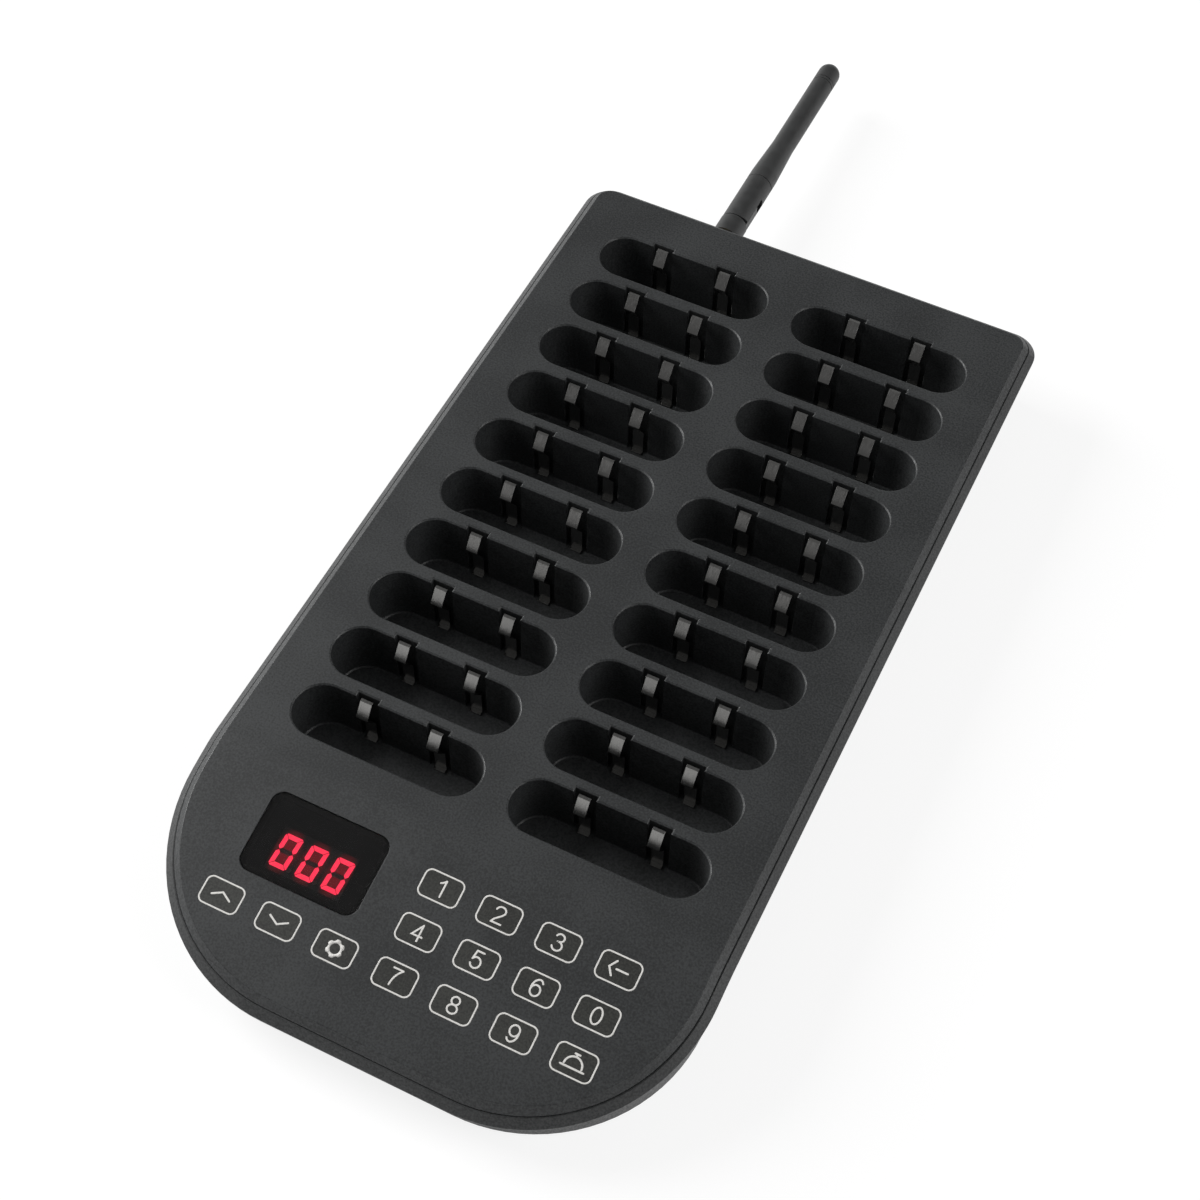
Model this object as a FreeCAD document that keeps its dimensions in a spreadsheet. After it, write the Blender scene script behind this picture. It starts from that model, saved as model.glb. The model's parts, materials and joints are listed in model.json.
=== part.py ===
import FreeCAD, Part
import math
import os
import Sketcher
from FreeCAD import Placement, Rotation, Vector

# Guest pager system: a counter-top charging dock for twenty coaster pagers with a sloped touch
# panel at the front and a folding antenna at the rear.
# Frame: origin at the centre of the case's footprint on the table, +X to the user's right,
# +Y towards the antenna, +Z up.  Millimetres.

doc = FreeCAD.newDocument("guest_pager_system")
sheet = doc.addObject("Spreadsheet::Sheet", "Sizes")


# ---------------------------------------------------------------- sizes


class Size:
    """A size that knows its value and the sheet formula that gives it."""

    def __init__(self, value, formula):
        self.value = float(value)
        self.formula = formula

    def __add__(self, other):
        other = as_size(other)
        return Size(self.value + other.value, f"({self.formula} + {other.formula})")

    def __sub__(self, other):
        other = as_size(other)
        return Size(self.value - other.value, f"({self.formula} - {other.formula})")

    def __mul__(self, other):
        other = as_size(other)
        return Size(self.value * other.value, f"({self.formula} * {other.formula})")

    def __truediv__(self, other):
        other = as_size(other)
        return Size(self.value / other.value, f"({self.formula} / {other.formula})")

    def __neg__(self):
        return Size(-self.value, f"(0 - {self.formula})")

    def __radd__(self, other):
        return as_size(other) + self

    def __rsub__(self, other):
        return as_size(other) - self

    def __rmul__(self, other):
        return as_size(other) * self


def as_size(number):
    """A plain number as a Size."""
    if isinstance(number, Size):
        return number
    return Size(number, repr(float(number)))


def sine(angle):
    return Size(math.sin(math.radians(angle.value)), f"sin({angle.formula})")


def cosine(angle):
    return Size(math.cos(math.radians(angle.value)), f"cos({angle.formula})")


def tangent(angle):
    return Size(math.tan(math.radians(angle.value)), f"tan({angle.formula})")


def root(square):
    return Size(math.sqrt(square.value), f"sqrt({square.formula})")


next_row = 1


def size(alias, value, note):
    """Writes one named cell and hands back its Size."""
    global next_row
    sheet.set(f"A{next_row}", alias)
    sheet.set(f"B{next_row}", str(value))
    sheet.set(f"C{next_row}", note)
    sheet.setAlias(f"B{next_row}", alias)
    next_row += 1
    return Size(value, f"Sizes.{alias}")


# case
front_radius = size("front_radius", 49.1, "front corners of the rim")
rear_radius = size("rear_radius", 8.4, "rear corners of the rim")
slope_length = size("slope_length", 57.8, "fold to the front of the rim, along Y")
slope_angle = size("slope_angle", 11.9, "control panel below level")
fold_radius = size("fold_radius", 25, "soft crease between top and panel")
cover_thickness = size("cover_thickness", 2.5, "top cover plate")
cover_chamfer = size("cover_chamfer", 1.8, "sloped edge of the cover")
seam_gap = size("seam_gap", 0.1, "gap between cover and tray rim")
rim_land = size("rim_land", 0.3, "flat left on top of the rim")
rim_drop = size("rim_drop", 2.1, "rim top below the cover's face")
rim_bevel = size("rim_bevel", 2.0, "slope outside the rim")
rim_band = size("rim_band", 0.5, "upright band at the widest line")
undercut = size("undercut", 2.8, "slope under the rim to the side wall")
wall_thickness = size("wall_thickness", 2.2, "tray side wall")
floor_thickness = size("floor_thickness", 2.0, "tray floor")
lip_depth = size("lip_depth", 3.5, "locating lip under the cover")
lip_thickness = size("lip_thickness", 1.4, "locating lip wall")
lip_gap = size("lip_gap", 0.2, "lip to tray wall")
slot_rim_round = size("slot_rim_round", 0.4, "small slope round each slot's mouth")
fit_gap = size("fit_gap", 0.1, "between pieces that only locate each other")

# feet
foot_height = size("foot_height", 1.5, "foot below the tray")
foot_recess = size("foot_recess", 0.8, "foot's seat in the tray floor")
foot_radius = size("foot_radius", 6, "rubber foot")
foot_side_inset = size("foot_side_inset", 21, "rear and centre feet from the side rim")
foot_front_side = size("foot_front_side", 31, "front feet from the side rim")
foot_rear_inset = size("foot_rear_inset", 26, "rear feet from the rear rim")
foot_front_inset = size("foot_front_inset", 32, "front feet from the front rim")
foot_edge = size("foot_edge", 0.5, "chamfer round the foot")

# pager slots
slot_rows = size("slot_rows", 10, "slots in a column")
slot_land = size("slot_land", 4.3, "cover left between two rows of mouths")
slot_length = size("slot_length", 55, "mouth of a slot, along X")
slot_width = size("slot_width", 16.1, "mouth of a slot, along Y")
slot_depth = size("slot_depth", 19.5, "top face to slot floor")
column_gap = size("column_gap", 9.2, "between the two columns' mouths")
side_margin = size("side_margin", 15.4, "slot mouths to the side rim")
rear_margin = size("rear_margin", 28.2, "rear row's centre from the rear rim")
front_margin = size("front_margin", 18.4, "front row's centre from the fold")
well_wall = size("well_wall", 1.2, "wall of each slot well")
well_foot = size("well_foot", 0.4, "slope between the slot's wall and its floor")
notch_width = size("notch_width", 6.5, "contact notch in a slot's rear wall")
notch_depth = size("notch_depth", 1.4, "contact notch, into the wall")
contact_spacing = size("contact_spacing", 21.1, "between a slot's two contacts")

# leaf contacts
leaf_width = size("leaf_width", 3.5, "leaf contact")
leaf_thickness = size("leaf_thickness", 0.3, "leaf contact sheet")
leaf_set = size("leaf_set", 0.1, "upright leaf behind the slot wall's plane")
leaf_top_drop = size("leaf_top_drop", 0.8, "leaf's top below the cover's face")
leaf_nose_drop = size("leaf_nose_drop", 4.9, "leaf's nose below the cover's face")
leaf_nose_reach = size("leaf_nose_reach", 3.7, "leaf's nose in front of the slot wall")
leaf_heel_drop = size("leaf_heel_drop", 10.6, "lower end of the leaf's nose")
leaf_crest = size("leaf_crest", 0.5, "front of the leaf's top in front of the slot wall")
leaf_end = size("leaf_end", 0.4, "turned down end behind the slot wall's plane")
leaf_hook = size("leaf_hook", 1.2, "turned down end of the leaf")
leaf_tab = size("leaf_tab", 1.3, "foot tab on the slot floor")
leaf_floor_gap = size("leaf_floor_gap", 0.2, "foot tab above the slot floor")
leaf_round = size("leaf_round", 0.5, "inside radius of the leaf's nose")
tail_width = size("tail_width", 1.2, "solder tail below the leaf")
tail_gap = size("tail_gap", 0.5, "slit in the well floor round the tail")

# screws and bosses
screw_radius = size("screw_radius", 1.4, "case and board screw thread")
screw_head_radius = size("screw_head_radius", 2.6, "pan head")
screw_head_height = size("screw_head_height", 1.7, "pan head")
screw_head_round = size("screw_head_round", 0.7, "rounding of the head")
recess_width = size("recess_width", 0.6, "cross recess arm")
recess_length = size("recess_length", 2.8, "cross recess, tip to tip")
recess_depth = size("recess_depth", 0.9, "cross recess")
thread_gap = size("thread_gap", 0.02, "screw to its pilot hole")
clearance_gap = size("clearance_gap", 0.3, "screw to a plain hole")
cover_screw_length = size("cover_screw_length", 10, "below the head")
board_screw_length = size("board_screw_length", 3.9, "below the head")
cover_boss_radius = size("cover_boss_radius", 3.0, "boss under the cover")
tray_boss_radius = size("tray_boss_radius", 4.2, "boss on the tray floor")
tray_boss_height = size("tray_boss_height", 6.5, "tray boss top above the tray's underside")
head_seat_height = size("head_seat_height", 3.0, "cover screw's head seat above the underside")
boss_side_inset = size("boss_side_inset", 10, "side bosses from the side rim")
boss_rear_inset = size("boss_rear_inset", 13, "rear bosses from the rear rim")
boss_centre_rows = size("boss_centre_rows", 4.5, "rows from the rear row to the middle bosses")
boss_panel_gap = size("boss_panel_gap", 11.2, "bosses beside the front row, from the fold")
boss_front_side = size("boss_front_side", 30, "front bosses from the middle")
boss_front_inset = size("boss_front_inset", 11, "front bosses from the front rim")

# main board
board_thickness = size("board_thickness", 1.6, "both circuit boards")
board_gap = size("board_gap", 0.8, "main board above the tray floor")
board_well_gap = size("board_well_gap", 0.9, "main board to the slot wells above it")
board_side_gap = size("board_side_gap", 15, "main board from the side rim")
board_front_gap = size("board_front_gap", 40, "main board's front edge from the front rim")
board_rear_gap = size("board_rear_gap", 1.0, "main board to the rear wall")
board_boss_radius = size("board_boss_radius", 3.0, "standoff under the main board")
board_boss_inset = size("board_boss_inset", 13, "front standoffs from the board's side edge")
board_boss_front = size("board_boss_front", 5, "front standoffs from the board's front edge")

# key board and display, in the panel's own frame
key_board_drop = size("key_board_drop", 9.3, "key board's face below the panel's face")
key_board_side = size("key_board_side", 17, "key board from the side rim")
key_board_top = size("key_board_top", 2.5, "fold to the key board's upper edge")
key_board_reach = size("key_board_reach", 43.5, "fold to the key board's lower edge")
key_board_corner = size("key_board_corner", 12, "lower corners of the key board")
key_boss_radius = size("key_boss_radius", 2.5, "boss between panel and key board")
key_screw_radius = size("key_screw_radius", 1.1, "key board screw thread")
key_screw_head = size("key_screw_head", 2.2, "key board screw head, radius")
key_screw_length = size("key_screw_length", 6.5, "below the head")
key_column_first = size("key_column_first", 0.57, "first number column")
key_column_pitch = size("key_column_pitch", 16.43, "column to column")
side_key_first = size("side_key_first", -49.34, "first of the three left keys")
key_row_first = size("key_row_first", 12.18, "first key row below the fold")
key_row_pitch = size("key_row_pitch", 12.35, "row to row")
spring_radius = size("spring_radius", 3.4, "touch spring")
spring_wire = size("spring_wire", 0.6, "touch spring wall")
spring_cap = size("spring_cap", 0.6, "closed top coil of a touch spring")
spring_gap = size("spring_gap", 0.1, "touch spring to the panel's underside")
window_x = size("window_x", -33.2, "window's middle")
window_drop = size("window_drop", 17.45, "fold to the window's middle")
window_width = size("window_width", 34.2, "display window")
window_height = size("window_height", 22.3, "display window")
window_radius = size("window_radius", 3.5, "window corners")
window_thickness = size("window_thickness", 1.5, "display window")
window_sink = size("window_sink", 0.15, "window below the panel's face")
window_gap = size("window_gap", 0.12, "window to its recess")
window_ledge = size("window_ledge", 2.2, "ledge that carries the window")
tape_thickness = size("tape_thickness", 0.15, "adhesive tape under the window")
tape_width = size("tape_width", 1.6, "adhesive tape")
module_width = size("module_width", 22.6, "three digit module")
module_height = size("module_height", 14.0, "three digit module")
module_depth = size("module_depth", 7.2, "three digit module")
module_x = size("module_x", -32.9, "module's middle")
module_drop = size("module_drop", 20.0, "fold to the module's middle")
module_gap = size("module_gap", 0.4, "module to the window's ledge")
digit_pitch = size("digit_pitch", 7.6, "digit to digit")
digit_height = size("digit_height", 9.14, "outer height of a digit")
digit_width = size("digit_width", 5.1, "outer width of a digit")
digit_slant = size("digit_slant", 4.0, "digits lean right")
segment_width = size("segment_width", 1.2, "stroke of a segment")
segment_gap = size("segment_gap", 0.12, "between segment ends")
segment_corner = size("segment_corner", 0.4, "cut outer corners of a digit")
segment_depth = size("segment_depth", 1.0, "light well of a segment")
segment_fit = size("segment_fit", 0.03, "segment to its light well")
point_radius = size("point_radius", 0.6, "decimal point")

# components on the two boards
block_edge = size("block_edge", 0.3, "chamfer on moulded components")
chip_row_inset = size("chip_row_inset", 12, "chips from the main board's front edge")
header_x = size("header_x", 20, "both headers from the middle")
header_inset = size("header_inset", 5, "main header from the board's front edge")
header_length = size("header_length", 14, "both headers, along X")
header_depth = size("header_depth", 4, "both headers, along Y")
header_height = size("header_height", 3.6, "main header")
key_header_height = size("key_header_height", 3.0, "key board's header")
key_header_inset = size("key_header_inset", 4, "key header from the key board's upper edge")
ribbon_width = size("ribbon_width", 12, "flat cable")
ribbon_thickness = size("ribbon_thickness", 0.6, "flat cable")
ribbon_bend = size("ribbon_bend", 0.4, "flat cable's inside bend")
controller_x = size("controller_x", -30, "key controller from the middle")
controller_side = size("controller_side", 9, "key controller")
chip_height = size("chip_height", 1.6, "both controllers")
processor_x = size("processor_x", -4, "microcontroller from the middle")
processor_side = size("processor_side", 10, "microcontroller")
regulator_x = size("regulator_x", 34, "regulator from the middle")
regulator_length = size("regulator_length", 6.5, "regulator, along X")
regulator_depth = size("regulator_depth", 6.0, "regulator, along Y")
regulator_height = size("regulator_height", 2.3, "regulator")
charge_chip_side = size("charge_chip_side", 3.0, "charging chip")
charge_chip_height = size("charge_chip_height", 1.0, "charging chip")
rear_row_inset = size("rear_row_inset", 5, "capacitors and coil from the board's rear edge")
capacitor_gap = size("capacitor_gap", 13, "first capacitor from the inlet's middle")
capacitor_pitch = size("capacitor_pitch", 6, "capacitor to capacitor")
capacitor_radius = size("capacitor_radius", 2.5, "filter capacitor")
capacitor_height = size("capacitor_height", 9, "filter capacitor")
coil_gap = size("coil_gap", 10.5, "coil's middle from the inlet's middle")
coil_radius = size("coil_radius", 4.0, "power coil's cheeks")
coil_winding = size("coil_winding", 3.4, "power coil's winding, radius")
coil_cheek = size("coil_cheek", 1.0, "power coil's cheek thickness")
coil_height = size("coil_height", 5.0, "power coil")
buzzer_x = size("buzzer_x", -24, "buzzer from the middle")
buzzer_radius = size("buzzer_radius", 6.0, "buzzer")
buzzer_height = size("buzzer_height", 6.0, "buzzer")
buzzer_edge = size("buzzer_edge", 0.6, "slope round the buzzer's top")
buzzer_hole = size("buzzer_hole", 1.2, "sound hole, radius")
radio_offset = size("radio_offset", 24, "radio board from the antenna's axis, along X")
radio_thickness = size("radio_thickness", 1.0, "radio board")
radio_depth = size("radio_depth", 9.0, "radio board, along Y")
radio_height = size("radio_height", 14.0, "radio board")
radio_setback = size("radio_setback", 0.5, "radio board from the main board's rear edge")
can_inset = size("can_inset", 1.0, "shielding can inside the radio board's edges")
can_thickness = size("can_thickness", 2.1, "shielding can, off the radio board")
can_height = size("can_height", 9.0, "shielding can")
can_rise = size("can_rise", 2.0, "shielding can above the main board")

# rear connectors
antenna_height = size("antenna_height", 14.2, "antenna axis above the table")
barrel_radius = size("barrel_radius", 3.17, "jack thread, outside")
barrel_length = size("barrel_length", 5.4, "jack barrel outside the rear wall")
jack_flange_radius = size("jack_flange_radius", 4.5, "jack flange inside the wall")
jack_flange = size("jack_flange", 2.5, "jack flange thickness")
jack_bore = size("jack_bore", 2.1, "jack insulator recess, radius")
jack_bore_depth = size("jack_bore_depth", 2.6, "jack insulator recess")
washer_radius = size("washer_radius", 4.6, "jack washer")
washer_thickness = size("washer_thickness", 0.5, "jack washer")
nut_flats = size("nut_flats", 8.0, "jack nut across its flats")
nut_thickness = size("nut_thickness", 2.0, "jack nut")
axial_gap = size("axial_gap", 0.2, "between turning pieces, along the antenna")
running_gap = size("running_gap", 0.08, "radial clearance of a turning fit")
coupling_length = size("coupling_length", 5.0, "coupling nut")
coupling_flats = size("coupling_flats", 7.6, "coupling nut across its flats")
coupling_lip = size("coupling_lip", 0.9, "inner lip of the coupling nut")
stem_radius = size("stem_radius", 2.2, "plug stem")
shoulder_radius = size("shoulder_radius", 3.0, "plug shoulder")
shoulder_length = size("shoulder_length", 1.1, "plug shoulder")
ring_radius = size("ring_radius", 2.9, "retaining ring on the plug stem")
ring_length = size("ring_length", 1.0, "retaining ring")
ring_setback = size("ring_setback", 3.0, "collar's end to its retaining ring")
stem_length = size("stem_length", 5.8, "plug stem inside the collar")
contact_pin_radius = size("contact_pin_radius", 0.45, "centre pins")
pin_entry = size("pin_entry", 2.0, "plug's pin inside the jack's socket")
collar_radius = size("collar_radius", 4.6, "collar")
antenna_radius = size("antenna_radius", 4.5, "lower whip")
pivot_reach = size("pivot_reach", 15.4, "collar's end to the fold axis")
knuckle_radius = size("knuckle_radius", 8.1, "whip's lower end about the fold axis")
knuckle_gap = size("knuckle_gap", 0.4, "whip's lower end to the collar's face")
blade_thickness = size("blade_thickness", 3.2, "collar's hinge blade")
blade_radius = size("blade_radius", 4.2, "hinge blade about the fold axis")
blade_gap = size("blade_gap", 0.12, "hinge blade to the whip's slot")
pin_radius = size("pin_radius", 1.2, "fold pin")
pin_inset = size("pin_inset", 0.35, "fold pin's lower end inside the whip's surface")
pin_top = size("pin_top", 3.0, "fold pin's blind end above the antenna's axis")
thick_reach = size("thick_reach", 16.0, "fold axis to the start of the taper")
taper_length = size("taper_length", 15.5, "taper of the whip")
tip_radius = size("tip_radius", 3.75, "upper whip")
whip_reach = size("whip_reach", 66.3, "fold axis to the tip cap")
whip_ring_reach = size("whip_ring_reach", 11.5, "fold axis to the ring round the lower whip")
tip_ring_setback = size("tip_ring_setback", 1.4, "ring round the upper whip, from its end")
ring_groove_width = size("ring_groove_width", 0.35, "ring grooves round the whip")
ring_groove_depth = size("ring_groove_depth", 0.2, "ring grooves round the whip")
tip_length = size("tip_length", 8.8, "tip cap")
tip_spigot = size("tip_spigot", 4.0, "tip cap inside the whip")
tip_spigot_radius = size("tip_spigot_radius", 2.2, "tip cap inside the whip")
tip_groove = size("tip_groove", 0.25, "joint line at the tip cap")
radiator_radius = size("radiator_radius", 1.0, "radiator inside the whip")
radiator_start = size("radiator_start", 6.5, "fold axis to the radiator")
lead_radius = size("lead_radius", 0.8, "inner antenna lead")
lead_run = size("lead_run", 4.6, "lead straight out of the jack")
lead_bend = size("lead_bend", 3.0, "lead's bend radius")
inlet_side = size("inlet_side", 39, "DC inlet's middle from the side rim")
inlet_width = size("inlet_width", 9.0, "DC inlet body")
inlet_depth = size("inlet_depth", 11.0, "DC inlet body, along Y")
inlet_height = size("inlet_height", 11.0, "DC inlet body")
inlet_axis = size("inlet_axis", 6.4, "inlet axis above the board")
inlet_bore = size("inlet_bore", 3.15, "inlet bore radius")
inlet_bore_depth = size("inlet_bore_depth", 9.5, "inlet bore")
inlet_pin = size("inlet_pin", 1.0, "inlet centre pin radius")
inlet_mouth = size("inlet_mouth", 4.0, "inlet opening in the wall, radius")
switch_gap = size("switch_gap", 24, "power switch's middle from the inlet's middle")
switch_width = size("switch_width", 10.0, "switch body")
switch_depth = size("switch_depth", 5.5, "switch body, along Y")
switch_height = size("switch_height", 6.0, "switch body")
switch_travel = size("switch_travel", 2.4, "slider travel")
slider_width = size("slider_width", 2.6, "slider knob")
slider_height = size("slider_height", 2.0, "slider knob")
slider_reach = size("slider_reach", 1.2, "slider knob outside the wall")
slider_plate = size("slider_plate", 1.0, "slider base plate, along Y")
slider_wing = size("slider_wing", 1.0, "slider base plate beyond the knob")
slider_gap = size("slider_gap", 0.08, "slider to its guides")

doc.recompute()

# ---------------------------------------------------------------- derived sizes

column_offset = (slot_length + column_gap) / 2
slot_pitch = slot_width + slot_land
half_width = column_offset + slot_length / 2 + side_margin
half_length = (slope_length + front_margin + slot_pitch * (slot_rows - 1) + rear_margin) / 2
fold_y = slope_length - half_length
tray_bottom = foot_height
floor_top = tray_bottom + floor_thickness
board_bottom = floor_top + board_gap
board_top = board_bottom + board_thickness
slot_floor = board_top + board_well_gap + well_wall
case_height = slot_floor + slot_depth
cover_inset = rim_bevel + rim_land + seam_gap
cavity_inset = undercut + wall_thickness
lip_inset = cavity_inset + lip_gap
rim_bottom_drop = rim_drop + rim_bevel + rim_band + undercut
rear_wall = half_length - undercut
rear_inside = half_length - cavity_inset
first_row_y = half_length - rear_margin
slot_rear = slot_width / 2
board_half_width = half_width - board_side_gap
board_front_y = board_front_gap - half_length
board_rear_y = rear_inside - board_rear_gap
board_boss_side = board_half_width - board_boss_inset
board_boss_y = board_front_y + board_boss_front
boss_side = half_width - boss_side_inset
boss_centre_y = first_row_y - slot_pitch * boss_centre_rows
boss_panel_y = fold_y + boss_panel_gap
foot_side = half_width - foot_side_inset
key_board_half = half_width - key_board_side
inlet_x = half_width - inlet_side
switch_x = inlet_x - switch_gap
tray_boss_top = tray_bottom + tray_boss_height
head_seat = tray_bottom + head_seat_height
leaf_plane = slot_rear + leaf_set
underside = cover_thickness / cosine(slope_angle)
coupling_start = rear_wall + washer_thickness + nut_thickness + axial_gap
coupling_end = coupling_start + coupling_length
collar_start = coupling_end + axial_gap
pivot_y = collar_start + pivot_reach
whip_end = pivot_y + whip_reach
REACH = 20.0  # how far cutting shapes stand past the case
LEAST_CUT = 0.001  # a pocket that takes away less is a mistake
BLADE_ROOT = 0.5  # how far the hinge blade's outline starts inside the collar

cover_screw_places = [
    (-boss_side, half_length - boss_rear_inset),
    (boss_side, half_length - boss_rear_inset),
    (-boss_side, boss_centre_y),
    (boss_side, boss_centre_y),
    (-boss_side, boss_panel_y),
    (boss_side, boss_panel_y),
    (-boss_front_side, boss_front_inset - half_length),
    (boss_front_side, boss_front_inset - half_length),
]
board_screw_places = [
    (as_size(0), first_row_y - slot_pitch * 1.5),
    (as_size(0), first_row_y - slot_pitch * 5.5),
    (as_size(0), first_row_y - slot_pitch * 8.5),
    (-board_boss_side, board_boss_y),
    (board_boss_side, board_boss_y),
]
key_screw_places = [
    (window_x - window_width / 2 - 2.6, -(key_board_top + 3.5)),
    (key_column_first + key_column_pitch * 3 + 4.1, -(key_board_top + 3)),
    (window_x + window_width / 2 + 6.4, -(window_drop + 2.5)),
    (window_x - window_width / 2 - 2.6, -(window_drop + 9.5)),
    (key_column_first + key_column_pitch * 2.5, -(key_row_first + key_row_pitch * 1.5)),
]
foot_places = [
    (-foot_side, half_length - foot_rear_inset),
    (foot_side, half_length - foot_rear_inset),
    (-foot_side, as_size(0)),
    (foot_side, as_size(0)),
    (foot_front_side - half_width, foot_front_inset - half_length),
    (half_width - foot_front_side, foot_front_inset - half_length),
]

# ---------------------------------------------------------------- helpers


def bind(thing, prop, amount):
    """Binds a property to a sheet formula, or sets a plain number."""
    thing.setExpression(prop, as_size(amount).formula)


def arc(centre_x, centre_y, turn=1):
    """Marks the stretch that leaves a corner as an arc; turn is 1 anticlockwise, -1 clockwise."""
    return (centre_x, centre_y, turn)


def origin_plane(body, role):
    for feature in body.Origin.OriginFeatures:
        if feature.Role == role:
            return feature


def new_body(label):
    body = doc.addObject("PartDesign::Body", label)
    body.Label = label
    return body


def body_from(label, blank):
    """A body that carries on from the result of a boolean."""
    body = new_body(label)
    body.BaseFeature = blank
    doc.recompute()
    body.Tip = body.Group[0]
    doc.recompute()
    return body


def new_sketch(body, plane="XY_Plane", height=0):
    """An empty sketch on one of the body's own planes, or lifted off it."""
    sketch = body.newObject("Sketcher::SketchObject", "outline")
    sketch.AttachmentSupport = [(origin_plane(body, plane), "")]
    sketch.MapMode = "FlatFace"
    bind(sketch, "AttachmentOffset.Base.z", height)
    return sketch


def hold(sketch, kind, element, position, amount):
    """Holds one coordinate of a point of the sketch at a bound distance from the origin."""
    amount = as_size(amount)
    index = sketch.addConstraint(
        Sketcher.Constraint(kind, -1, 1, element, position, amount.value)
    )
    sketch.setExpression(f"Constraints[{index}]", amount.formula)


def pin_down(sketch, element, position, x, y):
    hold(sketch, "DistanceX", element, position, x)
    hold(sketch, "DistanceY", element, position, y)


def trace(sketch, corners):
    """Adds one closed outline: corners are (x, y), or (x, y, arc(...)) where an arc leaves."""
    first = len(sketch.Geometry)
    ends = []
    for index, corner in enumerate(corners):
        following = corners[(index + 1) % len(corners)]
        start = Vector(as_size(corner[0]).value, as_size(corner[1]).value, 0)
        finish = Vector(as_size(following[0]).value, as_size(following[1]).value, 0)
        if len(corner) == 2:
            sketch.addGeometry(Part.LineSegment(start, finish))
            ends.append((1, 2))
            continue
        centre_x, centre_y, turn = corner[2]
        centre = Vector(as_size(centre_x).value, as_size(centre_y).value, 0)
        low, high = (start, finish) if turn > 0 else (finish, start)
        circle = Part.Circle(centre, Vector(0, 0, 1), (start - centre).Length)
        low_angle = math.atan2(low.y - centre.y, low.x - centre.x)
        high_angle = math.atan2(high.y - centre.y, high.x - centre.x)
        element = sketch.addGeometry(Part.ArcOfCircle(circle, low_angle, high_angle))
        ends.append((1, 2) if turn > 0 else (2, 1))
        chord = finish - start
        if abs(chord.x) > abs(chord.y):
            hold(sketch, "DistanceY", element, 3, centre_y)
        else:
            hold(sketch, "DistanceX", element, 3, centre_x)
    for index, corner in enumerate(corners):
        before = index - 1 if index else len(corners) - 1
        sketch.addConstraint(
            Sketcher.Constraint(
                "Coincident", first + before, ends[before][1], first + index, ends[index][0]
            )
        )
        pin_down(sketch, first + index, ends[index][0], corner[0], corner[1])
    return sketch


def add_circle(sketch, x, y, radius):
    centre = Vector(as_size(x).value, as_size(y).value, 0)
    circle = Part.Circle(centre, Vector(0, 0, 1), as_size(radius).value)
    element = sketch.addGeometry(circle)
    index = sketch.addConstraint(Sketcher.Constraint("Radius", element, as_size(radius).value))
    sketch.setExpression(f"Constraints[{index}]", as_size(radius).formula)
    pin_down(sketch, element, 3, x, y)
    return sketch


def box_path(x_low, x_high, y_low, y_high):
    return [(x_low, y_low), (x_high, y_low), (x_high, y_high), (x_low, y_high)]


def centred_path(x, y, half_x, half_y):
    return box_path(x - half_x, x + half_x, y - half_y, y + half_y)


def round_box_path(x_low, x_high, y_low, y_high, low_radius, high_radius):
    """A rectangle with rounded corners, one radius at its low Y end and one at its high Y end."""
    low_r = as_size(low_radius)
    high_r = as_size(high_radius)
    return [
        (x_low + low_r, y_low),
        (x_high - low_r, y_low, arc(x_high - low_r, y_low + low_r)),
        (x_high, y_low + low_r),
        (x_high, y_high - high_r, arc(x_high - high_r, y_high - high_r)),
        (x_high - high_r, y_high),
        (x_low + high_r, y_high, arc(x_low + high_r, y_high - high_r)),
        (x_low, y_high - high_r),
        (x_low, y_low + low_r, arc(x_low + low_r, y_low + low_r)),
    ]


def case_path(inset):
    """The case's outline seen from above, moved inwards."""
    inset = as_size(inset)
    return round_box_path(
        inset - half_width,
        half_width - inset,
        inset - half_length,
        half_length - inset,
        front_radius - inset,
        rear_radius - inset,
    )


def stadium_path(x, y, length, width):
    straight = (length - width) / 2
    half = width / 2
    return [
        (x + straight, y - half, arc(x + straight, y)),
        (x + straight, y + half),
        (x - straight, y + half, arc(x - straight, y)),
        (x - straight, y - half),
    ]


def roof_path(drop, level):
    """Region between the roof line, lowered by drop, and a level above or below it."""
    drop = as_size(drop)
    rear = half_length + REACH
    front = -half_length - REACH
    run = fold_radius * tangent(slope_angle / 2)
    roof = case_height - drop
    return [
        (front, roof - (fold_y - front) * tangent(slope_angle)),
        (
            fold_y - run * cosine(slope_angle),
            roof - run * sine(slope_angle),
            arc(fold_y + run, roof - fold_radius, -1),
        ),
        (fold_y + run, roof),
        (rear, roof),
        (rear, level),
        (front, level),
    ]


def pad(body, sketch, length, midplane=False, flip=False):
    feature = body.newObject("PartDesign::Pad", "pad")
    feature.Profile = (sketch, [""])
    bind(feature, "Length", length)
    feature.Midplane = midplane
    feature.Reversed = flip
    body.Tip = feature
    doc.recompute()
    return feature


def pocket(body, sketch, length=None, midplane=False, flip=False):
    """Cuts downwards from the sketch; without a length it cuts through everything."""
    before = body.Shape.Volume
    feature = body.newObject("PartDesign::Pocket", "pocket")
    feature.Profile = (sketch, [""])
    if length is None:
        feature.Type = "ThroughAll"
    else:
        bind(feature, "Length", length)
    feature.Midplane = midplane
    feature.Reversed = flip
    body.Tip = feature
    doc.recompute()
    if body.Shape.Volume > before - LEAST_CUT:
        raise RuntimeError(f"a pocket in {body.Label} cuts nothing")
    return feature


def roof_cut(body, drop, above):
    """Cuts away what lies above, or below, the lowered roof line."""
    sketch = new_sketch(body, "YZ_Plane")
    level = case_height + REACH if above else as_size(-REACH * 2)
    trace(sketch, roof_path(drop, level))
    return pocket(body, sketch, midplane=True)


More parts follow.
